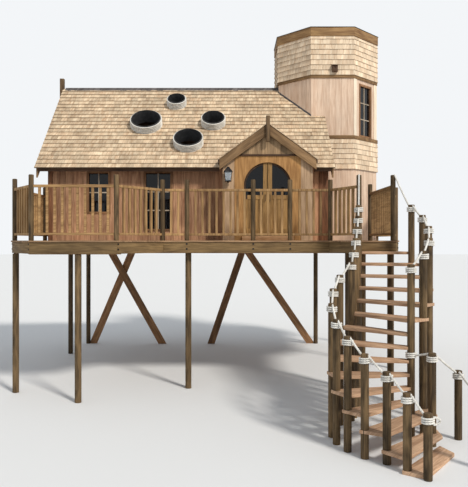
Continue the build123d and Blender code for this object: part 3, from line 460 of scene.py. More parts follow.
# Balustrades: planed rails with square balusters between them, golden brown, in bays between the newels.
# The rails are let into the newels, and each baluster is nailed between two rails.
rail_wood = timber("rail_wood", (188, 150, 102), (130, 98, 62), spread=0.45, weather=0.2)
for side, seed in (("front", 10), ("right", 11), ("rear", 12)):
    node = "balustrade_" + side
    set_part(node, side + "_rails", rail_wood, "baluster_timber", seed=seed, eased=0.003)

# Cabin walls: vertical boards of red cedar, about 0.2 m wide, on both long sides and both gables.
# They are nailed to the studs edge to edge, and each joint is a fine upright shadow line.
cedar = timber("cedar", (208, 162, 126), (150, 106, 78), spread=0.42)
for node, name, outward, across, seed in (
    ("front_wall", "front_cedar", -y_axis, x_axis, 390),
    ("rear_wall", "rear_cedar", y_axis, x_axis, 21),
    ("left_gable_wall", "left_gable_cedar", -x_axis, y_axis, 22),
    ("right_gable_wall", "right_gable_cedar", x_axis, y_axis, 23),
):
    set_boards(
        node, name, cedar, "cedar_boards", [outward], z_axis, across,
        pitch=0.19, gap=0.008, depth=0.012, seed=seed,
    )

# Tower walls: eight flat faces of upright boards, paler and pinker than the cabin.
# Each face is scored on its own, across the direction in which it looks.
tower_low, tower_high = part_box("tower_roof")
tower_centre = (tower_low + tower_high) / 2
tower_centre.z = 0
tower_reach = (tower_high.x - tower_low.x) / 2
half_angle = math.radians(22.5)
face_half = tower_reach * math.tan(half_angle)
deck_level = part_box("deck_floor")[1].z
outer_faces = (270, 315, 0, 45, 90)
tower_board_width = 0.148
tower_boards = timber("tower_boards", (240, 214, 190), (212, 180, 154), spread=0.14, weather=0.14)


def facing(angle):
    """Outward and level directions of the tower face that looks along an angle."""
    turn = math.radians(angle)
    return Vector((math.cos(turn), math.sin(turn), 0)), Vector((-math.sin(turn), math.cos(turn), 0))


for node, name, angles in (
    ("tower_walls", "tower_outer_boards", outer_faces),
    ("tower_inner_walls", "tower_rear_boards", (135, 180, 225)),
):
    wall = copy_of_part(node, name)
    for angle in angles:
        outward, level = facing(angle)

        def on_this_face(centre, outward=outward):
            from_centre = centre - tower_centre
            from_centre.z = 0
            return from_centre.normalized().dot(outward) > math.cos(half_angle)

        middle = tower_centre.dot(level)
        seams = even_seams(middle - face_half, middle + face_half, tower_board_width)
        score_boards(wall, outward, level, seams, gap=0.004, depth=0.006, on_face=on_this_face)
        lay_board_grain(wall, z_axis, level, seams, angle, on_this_face)
    set_piece(wall, tower_boards, "tower_shingles", node)

# Tower shingles: a band of eight courses under the cornice and a skirt of six over the lower wall.
# Each shingle is split cedar, thicker at its butt, laid with a random width and a small gap beside it.
shake_pattern = add_solid(bpy.ops.mesh.primitive_cube_add, size=1, location=(0.5, 0.5, 0.5))
shake_pattern.name = "shake_pattern"


def new_field():
    """An empty mesh with a grain map and a tone, ready for shakes."""
    form = bmesh.new()
    grain_layers(form)
    return form


def lay_shakes(form, plane, rise, exposure, reach, chance, widths=(0.085, 0.175), near=None):
    """Lay overlapping courses up a plane, given by a corner and its directions across, up and out.

    Reach gives a course's free stretches; near picks the shakes that go to a form of their own.
    """
    corner, across, up, out = plane
    lap, butt_top, tip_top, butt_thickness = 1.35, 0.026, 0.006, 0.017
    gap, narrowest, bedding, butt_painted_shadow = 0.002, 0.06, 0.0005, -1.4
    for course in range(math.ceil(rise / exposure - 0.01)):
        low = course * exposure
        high = min(low + exposure * lap, rise)
        low_stretches, high_stretches = reach(low), reach(high)
        if len(high_stretches) != len(low_stretches):
            high_stretches = low_stretches
        for (left, right), (high_left, high_right) in zip(low_stretches, high_stretches):
            # Where a course ends flat against a wall its tips stay as wide as its butts.
            if high_right < right - 1.5 * widths[1]:
                high_right = right
            if high_left > left + 1.5 * widths[1]:
                high_left = left
            start = left
            while start < right - gap:
                end = start + chance.uniform(*widths)
                if right - end < narrowest:
                    end = right
                drop = chance.uniform(-0.004, 0.002) if course else 0
                lift = chance.uniform(-0.001, 0.003)
                shade, shift = chance.random(), grain_shift(chance)
                middle = corner + across * ((start + end) / 2) + up * ((low + high) / 2)
                target = near[1] if near and near[0](middle) else form
                grain, tone = grain_layers(target)
                spots = []
                for vertex in shake_pattern.data.vertices:
                    share, climb, skin = vertex.co
                    low_x = start + gap / 2 + share * (end - start - gap)
                    high_x = min(max(low_x, high_left), high_right)
                    x = low_x + (high_x - low_x) * climb
                    s = low + drop + (high - low - drop) * climb
                    top = butt_top + lift + (tip_top - butt_top - lift) * climb
                    base = (butt_top - butt_thickness if course else 0) * (1 - climb) + bedding
                    spots.append((x, s, base + (top - base) * skin))
                corners = [target.verts.new(corner + across * x + up * s + out * t) for x, s, t in spots]
                for polygon in shake_pattern.data.polygons:
                    face = target.faces.new([corners[number] for number in polygon.vertices])
                    for loop, number in zip(face.loops, polygon.vertices):
                        x, s, t = spots[number]
                        loop[grain].uv = Vector((s, x + t)) + shift
                        # Butt faces take a tone far below any shingle's own: a painted shadow line under each
                        # course.
                        loop[tone] = butt_painted_shadow if polygon.normal.y < -0.9 else shade
                start = end


def set_field(form, name, finish):
    """Turn a field of shakes into a piece."""
    piece = place_object(name, bpy.data.meshes.new(name))
    form.to_mesh(piece.data)
    form.free()
    piece.data.materials.append(finish)
    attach(piece, "house")
    return piece


band_low, band_high = 4.04, 4.99
skirt_low, skirt_high = 1.75, 2.48
stand_off, past_corner, tower_exposure = 0.012, 0.02, 0.125
tower_shingle_wood = timber("tower_shingle_wood", (248, 228, 200), (214, 184, 152), spread=0.26, weather=0.14)
chance = random.Random(40)
tower_field = new_field()
for angle in range(0, 360, 45):
    outward, level = facing(angle)
    half = (tower_reach + stand_off + past_corner) * math.tan(half_angle)
    for low, high in ((band_low, band_high), (skirt_low, skirt_high))[: 2 if angle in outer_faces else 1]:
        corner = tower_centre + outward * (tower_reach + stand_off) + z_axis * (deck_level + low)
        plane = corner, level, z_axis, outward
        lay_shakes(
            tower_field, plane, high - low, tower_exposure, lambda s: [(-half, half)], chance,
            widths=(0.11, 0.22),
        )
set_field(tower_field, "tower_shingles", tower_shingle_wood)

# Main roof: split cedar shakes in courses 0.15 m apart from eave to ridge, over both slopes.
# They run past the barge boards and the eaves and stop at the tower and at the porch roof.
# Those near the stems are a piece of their own, in which the round openings are cut.
shake_wood = timber("shake_wood", (240, 218, 186), (192, 160, 128), spread=0.34, weather=0.22)
roof_low, roof_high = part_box("front_roof")
rear_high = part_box("rear_roof")[1]
ridge_y, ridge_top = roof_high.y, roof_high.z
slope = math.radians(45)
eave_run = ridge_y - roof_low.y
barge_low, barge_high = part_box("barge_boards")
past_barge, eave_overhang, roof_courses, stem_margin = 0.022, 0.09, 22, 0.2
rake_left, rake_right = barge_low.x - past_barge, barge_high.x + past_barge
full_rise = eave_run / math.cos(slope) + eave_overhang
shake_exposure = full_rise / roof_courses
porch_low, porch_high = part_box("porch_roof")
porch_x = (porch_low.x + porch_high.x) / 2
porch_slope = math.radians(36)
porch_half = (porch_high.x - porch_low.x) / 2
porch_top = porch_high.z
collar_rows = [(-1.14, 2.0, 0.77), (-0.1, 1.47, 0.71), (0.46, 2.04, 0.6), (-0.47, 2.63, 0.5)]
collar_rope = 0.04


def tower_edge(y):
    """How far right the roof runs before it meets the tower, at a distance back."""
    from_middle = abs(y - tower_centre.y)
    if from_middle > tower_reach:
        return rake_right
    return tower_centre.x - min(tower_reach, face_half + tower_reach - from_middle)


def front_reach(s):
    """Free stretches of the front slope at a distance up from the eave."""
    y = roof_low.y + (s - eave_overhang) * math.cos(slope)
    course_top = ridge_top - (ridge_y - y) + shake_exposure * math.sin(slope)
    right = min(rake_right, tower_edge(y))
    if course_top < porch_top:
        valley = min(porch_half, (porch_top - course_top) / math.tan(porch_slope))
        return [(rake_left, porch_x - valley), (porch_x + valley, right)]
    return [(rake_left, right)]


def rear_reach(s):
    """Free stretch of the rear slope, measured from the right towards the left."""
    y = rear_high.y - (s - eave_overhang) * math.cos(slope)
    return [(-min(rake_right, tower_edge(y)), -rake_left)]


def by_a_stem(spot):
    return any(
        math.hypot(spot.x - x, (spot.y - y) / math.cos(slope)) < size / 2 + stem_margin
        for x, y, size in collar_rows
    )


def roof_plane(way, eave_y):
    """The plane of one slope, which climbs along y in one way or the other."""
    up = Vector((0, way * math.cos(slope), math.sin(slope)))
    out = Vector((0, -way * math.sin(slope), math.cos(slope)))
    return Vector((0, eave_y, ridge_top - eave_run)) - up * eave_overhang, way * x_axis, up, out


chance = random.Random(41)
front_plane, rear_plane = roof_plane(1, roof_low.y), roof_plane(-1, rear_high.y)
out_front, out_rear = front_plane[3], rear_plane[3]
front_field, stem_field, rear_field = new_field(), new_field(), new_field()
lay_shakes(
    front_field, front_plane, full_rise, shake_exposure, front_reach, chance, near=(by_a_stem, stem_field)
)
lay_shakes(rear_field, rear_plane, full_rise, shake_exposure, rear_reach, chance)
set_field(front_field, "front_shakes", shake_wood)
stem_shakes = set_field(stem_field, "stem_shakes", shake_wood)
set_field(rear_field, "rear_shakes", shake_wood)


def stem_spot(x, y):
    """The middle of a stem's opening, on the front slope."""
    return Vector((x, y, ridge_top - (ridge_y - y)))


for stem_x, stem_y, size in collar_rows:
    bpy.ops.mesh.primitive_cylinder_add(
        vertices=48, radius=size / 2 - collar_rope, depth=0.4,
        location=stem_spot(stem_x, stem_y), rotation=(slope, 0, 0),
    )
    cutter = bpy.context.object
    select_only(stem_shakes)
    opening = stem_shakes.modifiers.new("opening", "BOOLEAN")
    opening.operation = "DIFFERENCE"
    opening.solver = "EXACT"
    opening.use_self = True
    opening.object = cutter
    bpy.ops.object.modifier_apply(modifier=opening.name)
    bpy.data.objects.remove(cutter)

# Porch roof: the same shakes on two short slopes that run back into the valleys of the main roof.
# In the valleys the courses of both roofs are cut to each other, and each goes in under its neighbour.
porch_field = new_field()
porch_overhang, past_porch = 0.03, 0.055
porch_eave_z = porch_top - porch_half * math.tan(porch_slope)
for side in (-1, 1):
    up = Vector((-side * math.cos(porch_slope), 0, math.sin(porch_slope)))
    out = Vector((side * math.sin(porch_slope), 0, math.cos(porch_slope)))
    corner = Vector((porch_x + side * porch_half, 0, porch_eave_z)) - up * porch_overhang

    def porch_reach(s, side=side):
        course_top = porch_eave_z + (s + shake_exposure - porch_overhang) * math.sin(porch_slope)
        valley_y = ridge_y - (ridge_top - course_top)
        front_y = porch_low.y - past_porch
        return [(front_y, valley_y)] if side > 0 else [(-valley_y, -front_y)]

    rise = porch_half / math.cos(porch_slope) + porch_overhang
    lay_shakes(porch_field, (corner, side * y_axis, up, out), rise, shake_exposure, porch_reach, chance)
set_field(porch_field, "porch_shakes", shake_wood)
# The roof slabs show only at the eaves and undersides; their dark brown is painted shade under the shakes.
under_roof_painted_shade = timber("under_roof_painted_shade", (108, 80, 58), (68, 50, 38), mapped=False)
dress(under_roof_painted_shade, "front_roof", "rear_roof", "porch_roof")
bpy.data.objects.remove(shake_pattern)

# Ridge: a saddle of short boards over the top courses, gone blue-grey with the weather.
# It runs from the left gable to the tower and is nailed through both slopes.
ridge_wood = timber("ridge_wood", (118, 112, 110), (64, 58, 56), spread=0.4, weather=0.3)
set_boards(
    "ridge_cap", "ridge_boards", ridge_wood, "roof_shakes", [out_front, out_rear], y_axis, x_axis,
    pitch=0.15, gap=0.005, depth=0.006, seed=50,
)

# Verge boards and peak posts: sawn boards up the edges of both gables, and a square post at each peak.
# The boards cover the ends of the roof; the posts are bolted to them where they meet.
verge_wood = timber("verge_wood", (168, 134, 96), (112, 86, 58), spread=0.3, weather=0.3)
post_wood = timber("post_wood", (128, 102, 72), (78, 60, 42), spread=0.3, weather=0.3)
set_part("barge_boards", "verge_boards", verge_wood, "porch_boards", seed=51, eased=0.004)
set_part("finials", "peak_posts", post_wood, "porch_boards", seed=52, eased=0.004)


# Porch eaves: a board along the lower edge of each porch slope, seen end on from the front; its dark colour
# is painted shade under the eave.
# They are nailed to the edge of the roof and die against the main roof.
def cut_board(low, high):
    """A sawn board between two corners."""
    middle = [(a + b) / 2 for a, b in zip(low, high)]
    size = [b - a for a, b in zip(low, high)]
    return add_solid(bpy.ops.mesh.primitive_cube_add, size=1, location=middle, scale=size)


def join_pieces(pieces, name):
    """Join pieces into one under a name."""
    select_only(pieces[0])
    for piece in pieces:
        piece.select_set(True)
    if len(pieces) > 1:
        bpy.ops.object.join()
    pieces[0].name = pieces[0].data.name = name
    return pieces[0]


# Dark wood: on the porch eave boards and the doors' arch rims it is painted shade; the porch beam is dark in
# it too.
dark_wood_painted_shade = timber("dark_wood_painted_shade", (92, 66, 48), (52, 38, 30), spread=0.3, weather=0.3)
eave_thick, eave_front, eave_back = 0.026, 0.556, 0.95
eave_low, eave_high = porch_eave_z - 0.085, porch_eave_z + 0.005
eave_boards = [
    cut_board((x, eave_front, eave_low), (x + eave_thick, eave_back, eave_high))
    for x in (porch_low.x - eave_thick, porch_high.x)
]
set_timbers(join_pieces(eave_boards, "porch_eave_boards"), dark_wood_painted_shade, "porch_boards", seed=53, eased=0.003)


# Tower cornice: eight mitred boards round the top, stained a redder brown than the shingles.
# A thin dark metal drip edge lies on them and turns the rain off.
def shape_faces(piece, test, *steps):
    """Carry out modelling steps on the faces whose centre and normal pass the test."""
    edit_piece(piece, lambda: bpy.ops.mesh.select_mode(type="FACE"), lambda: pick_faces(piece, test), *steps)


def octagon_band(reach, thickness, low, high, name):
    """A flat band round the tower, mitred at its corners; reach is to its outer faces."""
    band = add_solid(
        bpy.ops.mesh.primitive_cylinder_add,
        vertices=8, radius=reach / math.cos(half_angle), depth=high - low,
        location=(tower_centre.x, tower_centre.y, (low + high) / 2), rotation=(0, 0, half_angle),
    )
    band.name = name
    shape_faces(
        band,
        lambda centre, normal: abs(normal.z) > 0.9,
        lambda: bpy.ops.mesh.inset(thickness=thickness),
        bpy.ops.mesh.bridge_edge_loops,
    )
    return band


def plain_finish(name, colour, worn, roughness, metallic):
    """Lead, iron or rubber, with faint blotches where it is rubbed and dull."""
    made, tree = blank_material(name)
    place = add_node(tree, "ShaderNodeTexCoord", {})["Object"]
    blotch = add_noise(tree, place, 14.0, 6, 0.65)
    share = remap(tree, blotch, 0.42, 0.68)
    sockets = {
        "Base Color": mix_colours(tree, share, paint(*colour), paint(*worn)),
        "Roughness": remap(tree, blotch, 0.3, 0.7, roughness, roughness + 0.22),
        "Metallic": metallic,
        "Normal": add_relief(tree, add_noise(tree, place, 180.0, 2), strength=0.4, depth=0.0006),
    }
    add_surface(tree, sockets)
    return made


cornice_wood = timber("cornice_wood", (164, 130, 88), (110, 80, 52), weather=0.2)
cornice_low, cornice_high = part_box("tower_cornice")
set_part("tower_cornice", "cornice_boards", cornice_wood, "cedar_boards", seed=54, eased=0.003)
dark_lead = plain_finish("dark_lead", (64, 62, 64), (96, 94, 96), roughness=0.42, metallic=0.6)
drip_reach = (cornice_high.x - cornice_low.x) / 2 + 0.012
drip_edge = octagon_band(drip_reach, 0.075, cornice_high.z, cornice_high.z + 0.010, "tower_drip_edge")
ease_edges(drip_edge, 0.002)
set_piece(drip_edge, dark_lead, "black_iron")
dress(dark_lead, "tower_roof")


# Flashing: strips of dark lead dressed up the tower where the two roof slopes meet it.
# Each follows the slope and is tacked to the wall boards along its upper edge.
def roof_point(x, y):
    """A place on top of the shakes of either slope."""
    return Vector((x, y, ridge_top - abs(y - ridge_y) + shake_depth))


def tower_corner(angle):
    """Where the roof meets the corner of the tower at an angle."""
    turn, reach = math.radians(angle), tower_reach / math.cos(half_angle)
    return roof_point(tower_centre.x + reach * math.cos(turn), tower_centre.y + reach * math.sin(turn))


def flashing_strip(start, end, outward):
    """A strip on the tower from one place on the roof to another, its ends cut upright."""
    run = end - start
    along = run.normalized()
    rise = outward.cross(along)
    if rise.z < 0:
        rise.negate()
    length = run.length + flashing_spare
    strip = cut_board((-flashing_spare, -0.02, -flashing_thick), (length, flashing_height, flashing_thick))
    turn = Matrix((along, rise, along.cross(rise))).transposed().to_4x4()
    strip.data.transform(Matrix.Translation(start) @ turn)
    bpy.ops.object.mode_set(mode="EDIT")
    for spot, cleared in ((start, "clear_inner"), (end, "clear_outer")):
        bpy.ops.mesh.select_all(action="SELECT")
        bpy.ops.mesh.bisect(plane_co=spot, plane_no=(run.x, run.y, 0), use_fill=True, **{cleared: True})
    bpy.ops.object.mode_set(mode="OBJECT")
    return strip


shake_depth, flashing_height, flashing_thick, flashing_spare = 0.03, 0.03, 0.008, 0.1
ridge_end = roof_point(tower_low.x, ridge_y)
strips = [
    flashing_strip(start, end, facing(angle)[0])
    for angle, start, end in (
        (180, ridge_end, tower_corner(202.5)),
        (225, tower_corner(202.5), tower_corner(247.5)),
        (180, ridge_end, tower_corner(157.5)),
        (135, tower_corner(157.5), tower_corner(112.5)),
    )
]
flashing = join_pieces(strips, "tower_flashing")
ease_edges(flashing, 0.002)
set_piece(flashing, dark_lead, "black_iron")


# Tower trims: a brown board under the upper shingles, a brown board over the skirt, and pale corner boards
# that frame the window face. All are nailed flat to the wall boards.
def cut_through(piece, place, across, **settings):
    """Cut every face of a piece along a plane."""
    edit_piece(piece, lambda: bpy.ops.mesh.bisect(plane_co=place, plane_no=across, **settings))


band_foot, band_top = deck_level + band_low - 0.075, deck_level + band_low
skirt_foot, skirt_top = deck_level + skirt_high, deck_level + skirt_high + 0.085
band_thick, skirt_thick, trim_gap = 0.024, 0.034, 0.002
skirt_board_wood = timber("skirt_board_wood", (160, 126, 86), (108, 80, 52), mapped=False)
band_board = octagon_band(tower_reach + band_thick, band_thick, band_foot, band_top, "band_board")
skirt_board = octagon_band(tower_reach + skirt_thick, skirt_thick, skirt_foot, skirt_top, "skirt_board")
wall_end = x_axis * (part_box("right_gable_wall")[1].x + 0.002)
cut_through(skirt_board, wall_end, x_axis, use_fill=True, clear_inner=True)
for board in (band_board, skirt_board):
    ease_edges(board, 0.004)
    set_piece(board, skirt_board_wood, "tower_shingles")
corner_wood = timber("corner_wood", (252, 238, 216), (232, 212, 186), spread=0.1, weather=0.06)
window_face, half_wide, corner_thick = 315, 0.125 / 2, 0.014
face_x = tower_centre.x + tower_reach
corner_boards = [
    cut_board(
        (face_x, tower_centre.y + side - half_wide, skirt_top + trim_gap),
        (face_x + corner_thick, tower_centre.y + side + half_wide, band_foot - trim_gap),
    )
    for side in (half_wide - face_half, face_half - half_wide)
]
corner_boards = join_pieces(corner_boards, "window_corner_boards")
to_tower, turn = Matrix.Translation(tower_centre), Matrix.Rotation(math.radians(window_face), 4, "Z")
corner_boards.data.transform(to_tower @ turn @ to_tower.inverted())
set_timbers(corner_boards, corner_wood, "tower_shingles", seed=55, eased=0.003)


# Stem collars: five turns of thick pale rope laid one on another round each opening in the front slope.
# Three strands turn round each other; each ring is spliced to itself and rests on the roof.
def rope_outline(diameter, name):
    """The rope cut across: three strands side by side."""
    outline = bpy.data.curves.new(name, "CURVE")
    outline.dimensions = "2D"
    spline = outline.splines.new("POLY")
    spline.points.add(11)
    for number, point in enumerate(spline.points):
        turn = math.radians(30 * number)
        reach = diameter / 2 * (0.91 + 0.11 * math.cos(3 * turn))
        point.co = (reach * math.cos(turn), reach * math.sin(turn), 0, 1)
    spline.use_cyclic_u = True
    return place_object(name, outline)


def line_along(spots):
    """A curve of straight runs from spot to spot, and its spline."""
    path = bpy.data.curves.new("line", "CURVE")
    path.dimensions = "3D"
    spline = path.splines.new("POLY")
    spline.points.add(len(spots) - 1)
    for point, spot in zip(spline.points, spots):
        point.co = (*spot, 1)
    return path, spline


def mesh_of_line(path):
    select_only(place_object("line", path))
    bpy.ops.object.convert(target="MESH")
    return bpy.context.object


def lay_rope(spots, section, lay, closed=False):
    """A rope along a line of spots, its strands going once round in each lay."""
    path, spline = line_along(spots)
    path.twist_mode = "Z_UP"
    path.bevel_mode = "OBJECT"
    path.bevel_object = section
    path.use_fill_caps = not closed
    gone = 0
    for number in range(1, len(spots)):
        gone += (spots[number] - spots[number - 1]).length
        spline.points[number].tilt = math.tau * gone / lay
    spline.use_cyclic_u = closed
    rope = mesh_of_line(path)
    edit_piece(
        rope,
        lambda: bpy.ops.mesh.remove_doubles(threshold=0.00001),
        lambda: bpy.ops.mesh.normals_make_consistent(inside=False),
    )
    return rope


def rope_ring(radius, section, lay, step):
    """A closed ring of rope, flat round the origin."""
    count = round(math.tau * radius / step)
    turns = [math.tau * number / count for number in range(count)]
    spots = [Vector((radius * math.cos(turn), radius * math.sin(turn), 0)) for turn in turns]
    chords = (spots[1] - spots[0]).length * count
    return lay_rope(spots, section, chords / round(chords / lay), closed=True)


def rope_finish(name, light, dark):
    """Pale rope: fine fibres, with dirt in patches."""
    made, tree = blank_material(name)
    place = add_node(tree, "ShaderNodeTexCoord", {})["Object"]
    fibre = add_noise(tree, place, 190.0, 3, 0.6)
    dirt = add_noise(tree, place, 7.0, 5, 0.6)
    share = remap(tree, calculate(tree, "ADD", fibre, dirt), 0.72, 1.2)
    sockets = {
        "Base Color": mix_colours(tree, share, paint(*dark), paint(*light)),
        "Roughness": remap(tree, dirt, 0.3, 0.7, 0.95, 0.75),
        "Normal": add_relief(tree, fibre, strength=0.6, depth=0.001),
        "Specular IOR Level": 0.2,
    }
    add_surface(tree, sockets)
    return made


pale_rope = rope_finish("pale_rope", (246, 244, 238), (196, 192, 184))
collar_section = rope_outline(collar_rope * 0.83, "collar_section")
collar_turns = 5
rings = []
for stem_x, stem_y, size in collar_rows:
    for turn in range(collar_turns):
        ring = rope_ring((size - collar_rope) / 2, collar_section, lay=0.125, step=0.017)
        raised = stem_spot(stem_x, stem_y) + out_front * (collar_rope * (turn + 0.5))
        ring.data.transform(Matrix.Translation(raised) @ Matrix.Rotation(slope, 4, "X"))
        rings.append(ring)
set_piece(join_pieces(rings, "collar_ropes"), pale_rope, "rope", "rope_collars")
bpy.data.objects.remove(collar_section)
seal_rubber = plain_finish("seal_rubber", (42, 42, 44), (66, 66, 68), roughness=0.55, metallic=0.0)
dress(seal_rubber, "stem_seals")

# Porch front: wide planks either side of the arch, with a paler pilaster at each end and upright boards
# in the peak. A thin dark beam crosses it between the verge boards, where the upright boards stand.
pilaster_wood = timber("pilaster_wood", (208, 176, 142), (164, 132, 102), spread=0.2, weather=0.15)
surround_wood = timber("surround_wood", (200, 152, 96), (146, 104, 60), spread=0.3, weather=0.15)
peak_wood = timber("peak_wood", (182, 152, 116), (130, 104, 76), spread=0.45)
face_low, face_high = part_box("porch_jambs")
pilaster_width, porch_board_width = 0.255, 0.14
beam_level = deck_level + 1.86
pilaster_seams = [face_low.x + pilaster_width, face_high.x - pilaster_width]
peak_seams = even_seams(face_low.x, face_high.x, porch_board_width)


def under_beam(centre):
    return centre.z < beam_level


def over_beam(centre):
    return centre.z > beam_level


for node, name in (("porch_jambs", "porch_planks"), ("porch_gable", "porch_peak")):
    face = copy_of_part(node, name)
    cut_through(face, z_axis * beam_level, z_axis)
    for seams, seed, on_face in ((pilaster_seams, 56, under_beam), (peak_seams, 57, over_beam)):
        score_boards(face, -y_axis, x_axis, seams, gap=0.006, depth=0.010, on_face=on_face)
        lay_board_grain(face, z_axis, x_axis, seams, seed, on_face)
    set_piece(face, surround_wood, "porch_boards", node)
    face.data.materials.append(pilaster_wood)
    face.data.materials.append(peak_wood)
    for polygon in face.data.polygons:
        if polygon.center.z > beam_level:
            polygon.material_index = 2
        elif not pilaster_seams[0] < polygon.center.x < pilaster_seams[1]:
            polygon.material_index = 1
beam_half = min((porch_top - beam_level) / math.tan(porch_slope) - 0.12, porch_half - 0.16)
beam = cut_board(
    (porch_x - beam_half, face_low.y - 0.028, beam_level - 0.022),
    (porch_x + beam_half, face_low.y - 0.001, beam_level + 0.014),
)
set_timbers(join_pieces([beam], "porch_beam"), dark_wood_painted_shade, "porch_boards", seed=58, eased=0.003)
set_boards(
    "porch_side_walls", "porch_side_boards", pilaster_wood, "porch_boards", [-x_axis, x_axis], z_axis, y_axis,
    pitch=porch_board_width, gap=0.006, depth=0.010, seed=59,
)
# The step's pale colour is partly the wood's own and partly painted light, brightening a step that the rails
# shade.
step_wood = timber("step_wood", (242, 196, 150), (200, 150, 104), spread=0.2, weather=0.1)
set_part("door_step", "step_boards", step_wood, "porch_boards", seed=60, eased=0.004)


# Doors: two arched leaves of golden boards between wide stiles, with a dark pane under the arch of each.
# The boarded lower panels are sunk into both sides of the leaf; strap hinges on the inside carry each leaf.
def glass_finish(name, tint, smooth, smeared):
    """Window glass, slightly uneven, in a given tint; a dark tint stands for the dark room behind it as
    painted shade.
    """
    made, tree = blank_material(name)
    place = add_node(tree, "ShaderNodeTexCoord", {})["Object"]
    sockets = {
        "Base Color": paint(*tint),
        "Roughness": remap(tree, add_noise(tree, place, 5.0, 4), 0.35, 0.7, smooth, smeared),
        "Transmission Weight": 0.55,
        "Specular IOR Level": 0.22,
        "IOR": 1.45,
        "Normal": add_relief(tree, add_noise(tree, place, 2.2, 1), strength=0.2, depth=0.004),
    }
    add_surface(tree, sockets)
    return made


def iron_rod(spots, diameter):
    """A round iron rod bent along a line of spots."""
    path, spline = line_along(spots)
    path.bevel_depth = diameter / 2
    path.bevel_resolution = 3
    path.use_fill_caps = True
    return mesh_of_line(path)


door_wood = timber("door_wood", (186, 146, 92), (124, 92, 52), spread=0.4, weather=0.15)
# The near-black tint of the door and window panes is painted shade of the unlit rooms behind them.
dark_glass = glass_finish("dark_glass", (14, 17, 23), smooth=0.02, smeared=0.12)
black_iron = plain_finish("black_iron", (34, 34, 36), (74, 70, 68), roughness=0.38, metallic=0.75)
outer_stile, meeting_stile, foot_rail, panel_top, panel_depth = 0.075, 0.09, 0.15, 0.9, 0.012
pull_low, pull_high = deck_level + 0.86, deck_level + 1.0
pull_inset, pull_standoff, pull_bend, pull_sunk = 0.045, 0.032, 0.008, 0.003
for side, meeting in (("left", 1), ("right", -1)):
    door = side + "_door"
    leaf_low, leaf_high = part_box(door)
    outer_edge, meeting_edge = (leaf_low.x, leaf_high.x)[::meeting]
    leaf = copy_of_part(door, door + "_leaf")
    panel_x = sorted((outer_edge + meeting * outer_stile, meeting_edge - meeting * meeting_stile))
    panel_z = (leaf_low.z + foot_rail, deck_level + panel_top)
    for values, across in ((panel_x, x_axis), (panel_z, z_axis)):
        for value in values:
            cut_through(leaf, across * value, across)

    def in_panel(centre, panel_x=panel_x, panel_z=panel_z):
        return panel_x[0] < centre.x < panel_x[1] and panel_z[0] < centre.z < panel_z[1]

    panel_seams = [panel_x[0] + (panel_x[1] - panel_x[0]) * n / 3 for n in (1, 2)]
    for outward in (-y_axis, y_axis):
        shape_faces(
            leaf,
            lambda centre, normal: normal.dot(outward) > 0.99 and in_panel(centre),
            lambda: push_faces(outward * -panel_depth),
        )
        score_boards(leaf, outward, x_axis, panel_seams, gap=0.009, depth=0.007, on_face=in_panel)
    lay_board_grain(leaf, z_axis, x_axis, sorted([*panel_x, *panel_seams]), 61 + meeting)
    set_piece(leaf, door_wood, "porch_boards", door, body=door)
    # Faces of the upper leaf away from the meeting stile take the dark wood: painted shade in the reveal
    # round the arch.
    leaf.data.materials.append(dark_wood_painted_shade)
    for polygon in leaf.data.polygons:
        if polygon.center.z > deck_level + 1.0 and abs(polygon.center.x - meeting_edge) > 0.1:
            polygon.material_index = 1
    pull_x = meeting_edge - meeting * pull_inset
    pulls = []
    for face_y, way in ((leaf_low.y, -1), (leaf_high.y, 1)):
        grip_y, sunk_y = face_y + way * pull_standoff, face_y - way * pull_sunk
        bend_y = grip_y - way * pull_bend
        spots = [
            (sunk_y, pull_low), (bend_y, pull_low), (grip_y, pull_low + pull_bend),
            (grip_y, pull_high - pull_bend), (bend_y, pull_high), (sunk_y, pull_high),
        ]
        pulls.append(iron_rod([(pull_x, y, z) for y, z in spots], diameter=0.012))
    set_piece(join_pieces(pulls, door + "_pulls"), black_iron, "black_iron", body=door)
dress(black_iron, "left_door_hinges", "right_door_hinges", "door_hinge_pins")
dress(dark_glass, "left_door_glass", "right_door_glass", "window_glass")


# Windows: brown sashes set in the walls, each divided by slim pale glazing bars into four or six panes.
# The bars are housed into the sash on both sides of the glass.
def solids_of(node):
    """The corners of each separate solid of a part."""
    form = bmesh.new()
    form.from_mesh(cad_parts[node].data)
    bmesh.ops.remove_doubles(form, verts=form.verts[:], dist=0.00005)
    groups = linked_groups(form.verts, lambda vertex: [edge.other_vert(vertex) for edge in vertex.link_edges])
    solids = [np.array([vertex.co for vertex in group]) for group in groups]
    form.free()
    return solids


sash_wood = timber("sash_wood", (158, 116, 80), (104, 74, 50), spread=0.4, weather=0.2)
bar_wood = timber("bar_wood", (204, 190, 170), (160, 142, 120), spread=0.3, weather=0.2)
set_part("window_frames", "window_sashes", sash_wood, "porch_boards", seed=62, eased=0.004)
bar_half, bar_reach, cross_reach = 0.026 / 2, 0.03 / 2, 0.03 / 2 - 0.001
bars = []
for pane in solids_of("window_glass"):
    low, high = Vector(pane.min(axis=0)), Vector(pane.max(axis=0))
    reach_x, reach_y, height = high - low
    width, turn = max(reach_x, reach_y), 0 if reach_x > reach_y else math.radians(90)
    if min(reach_x, reach_y) > 0.1:
        width, turn = math.hypot(reach_x, reach_y) - 0.006, math.radians(45)
    rows = 3 if height > 1.0 else 2
    sticks = [cut_board((-bar_half, -bar_reach, -height / 2), (bar_half, bar_reach, height / 2))]
    for row in range(1, rows):
        level = height * (row / rows - 0.5)
        left_end = (-width / 2, -cross_reach, level - bar_half)
        right_end = (width / 2, cross_reach, level + bar_half)
        sticks.append(cut_board(left_end, right_end))
    for stick in sticks:
        stick.data.transform(Matrix.Translation((low + high) / 2) @ Matrix.Rotation(turn, 4, "Z"))
    bars += sticks
set_timbers(join_pieces(bars, "glazing_bars"), bar_wood, "porch_boards", seed=63, eased=0.003)

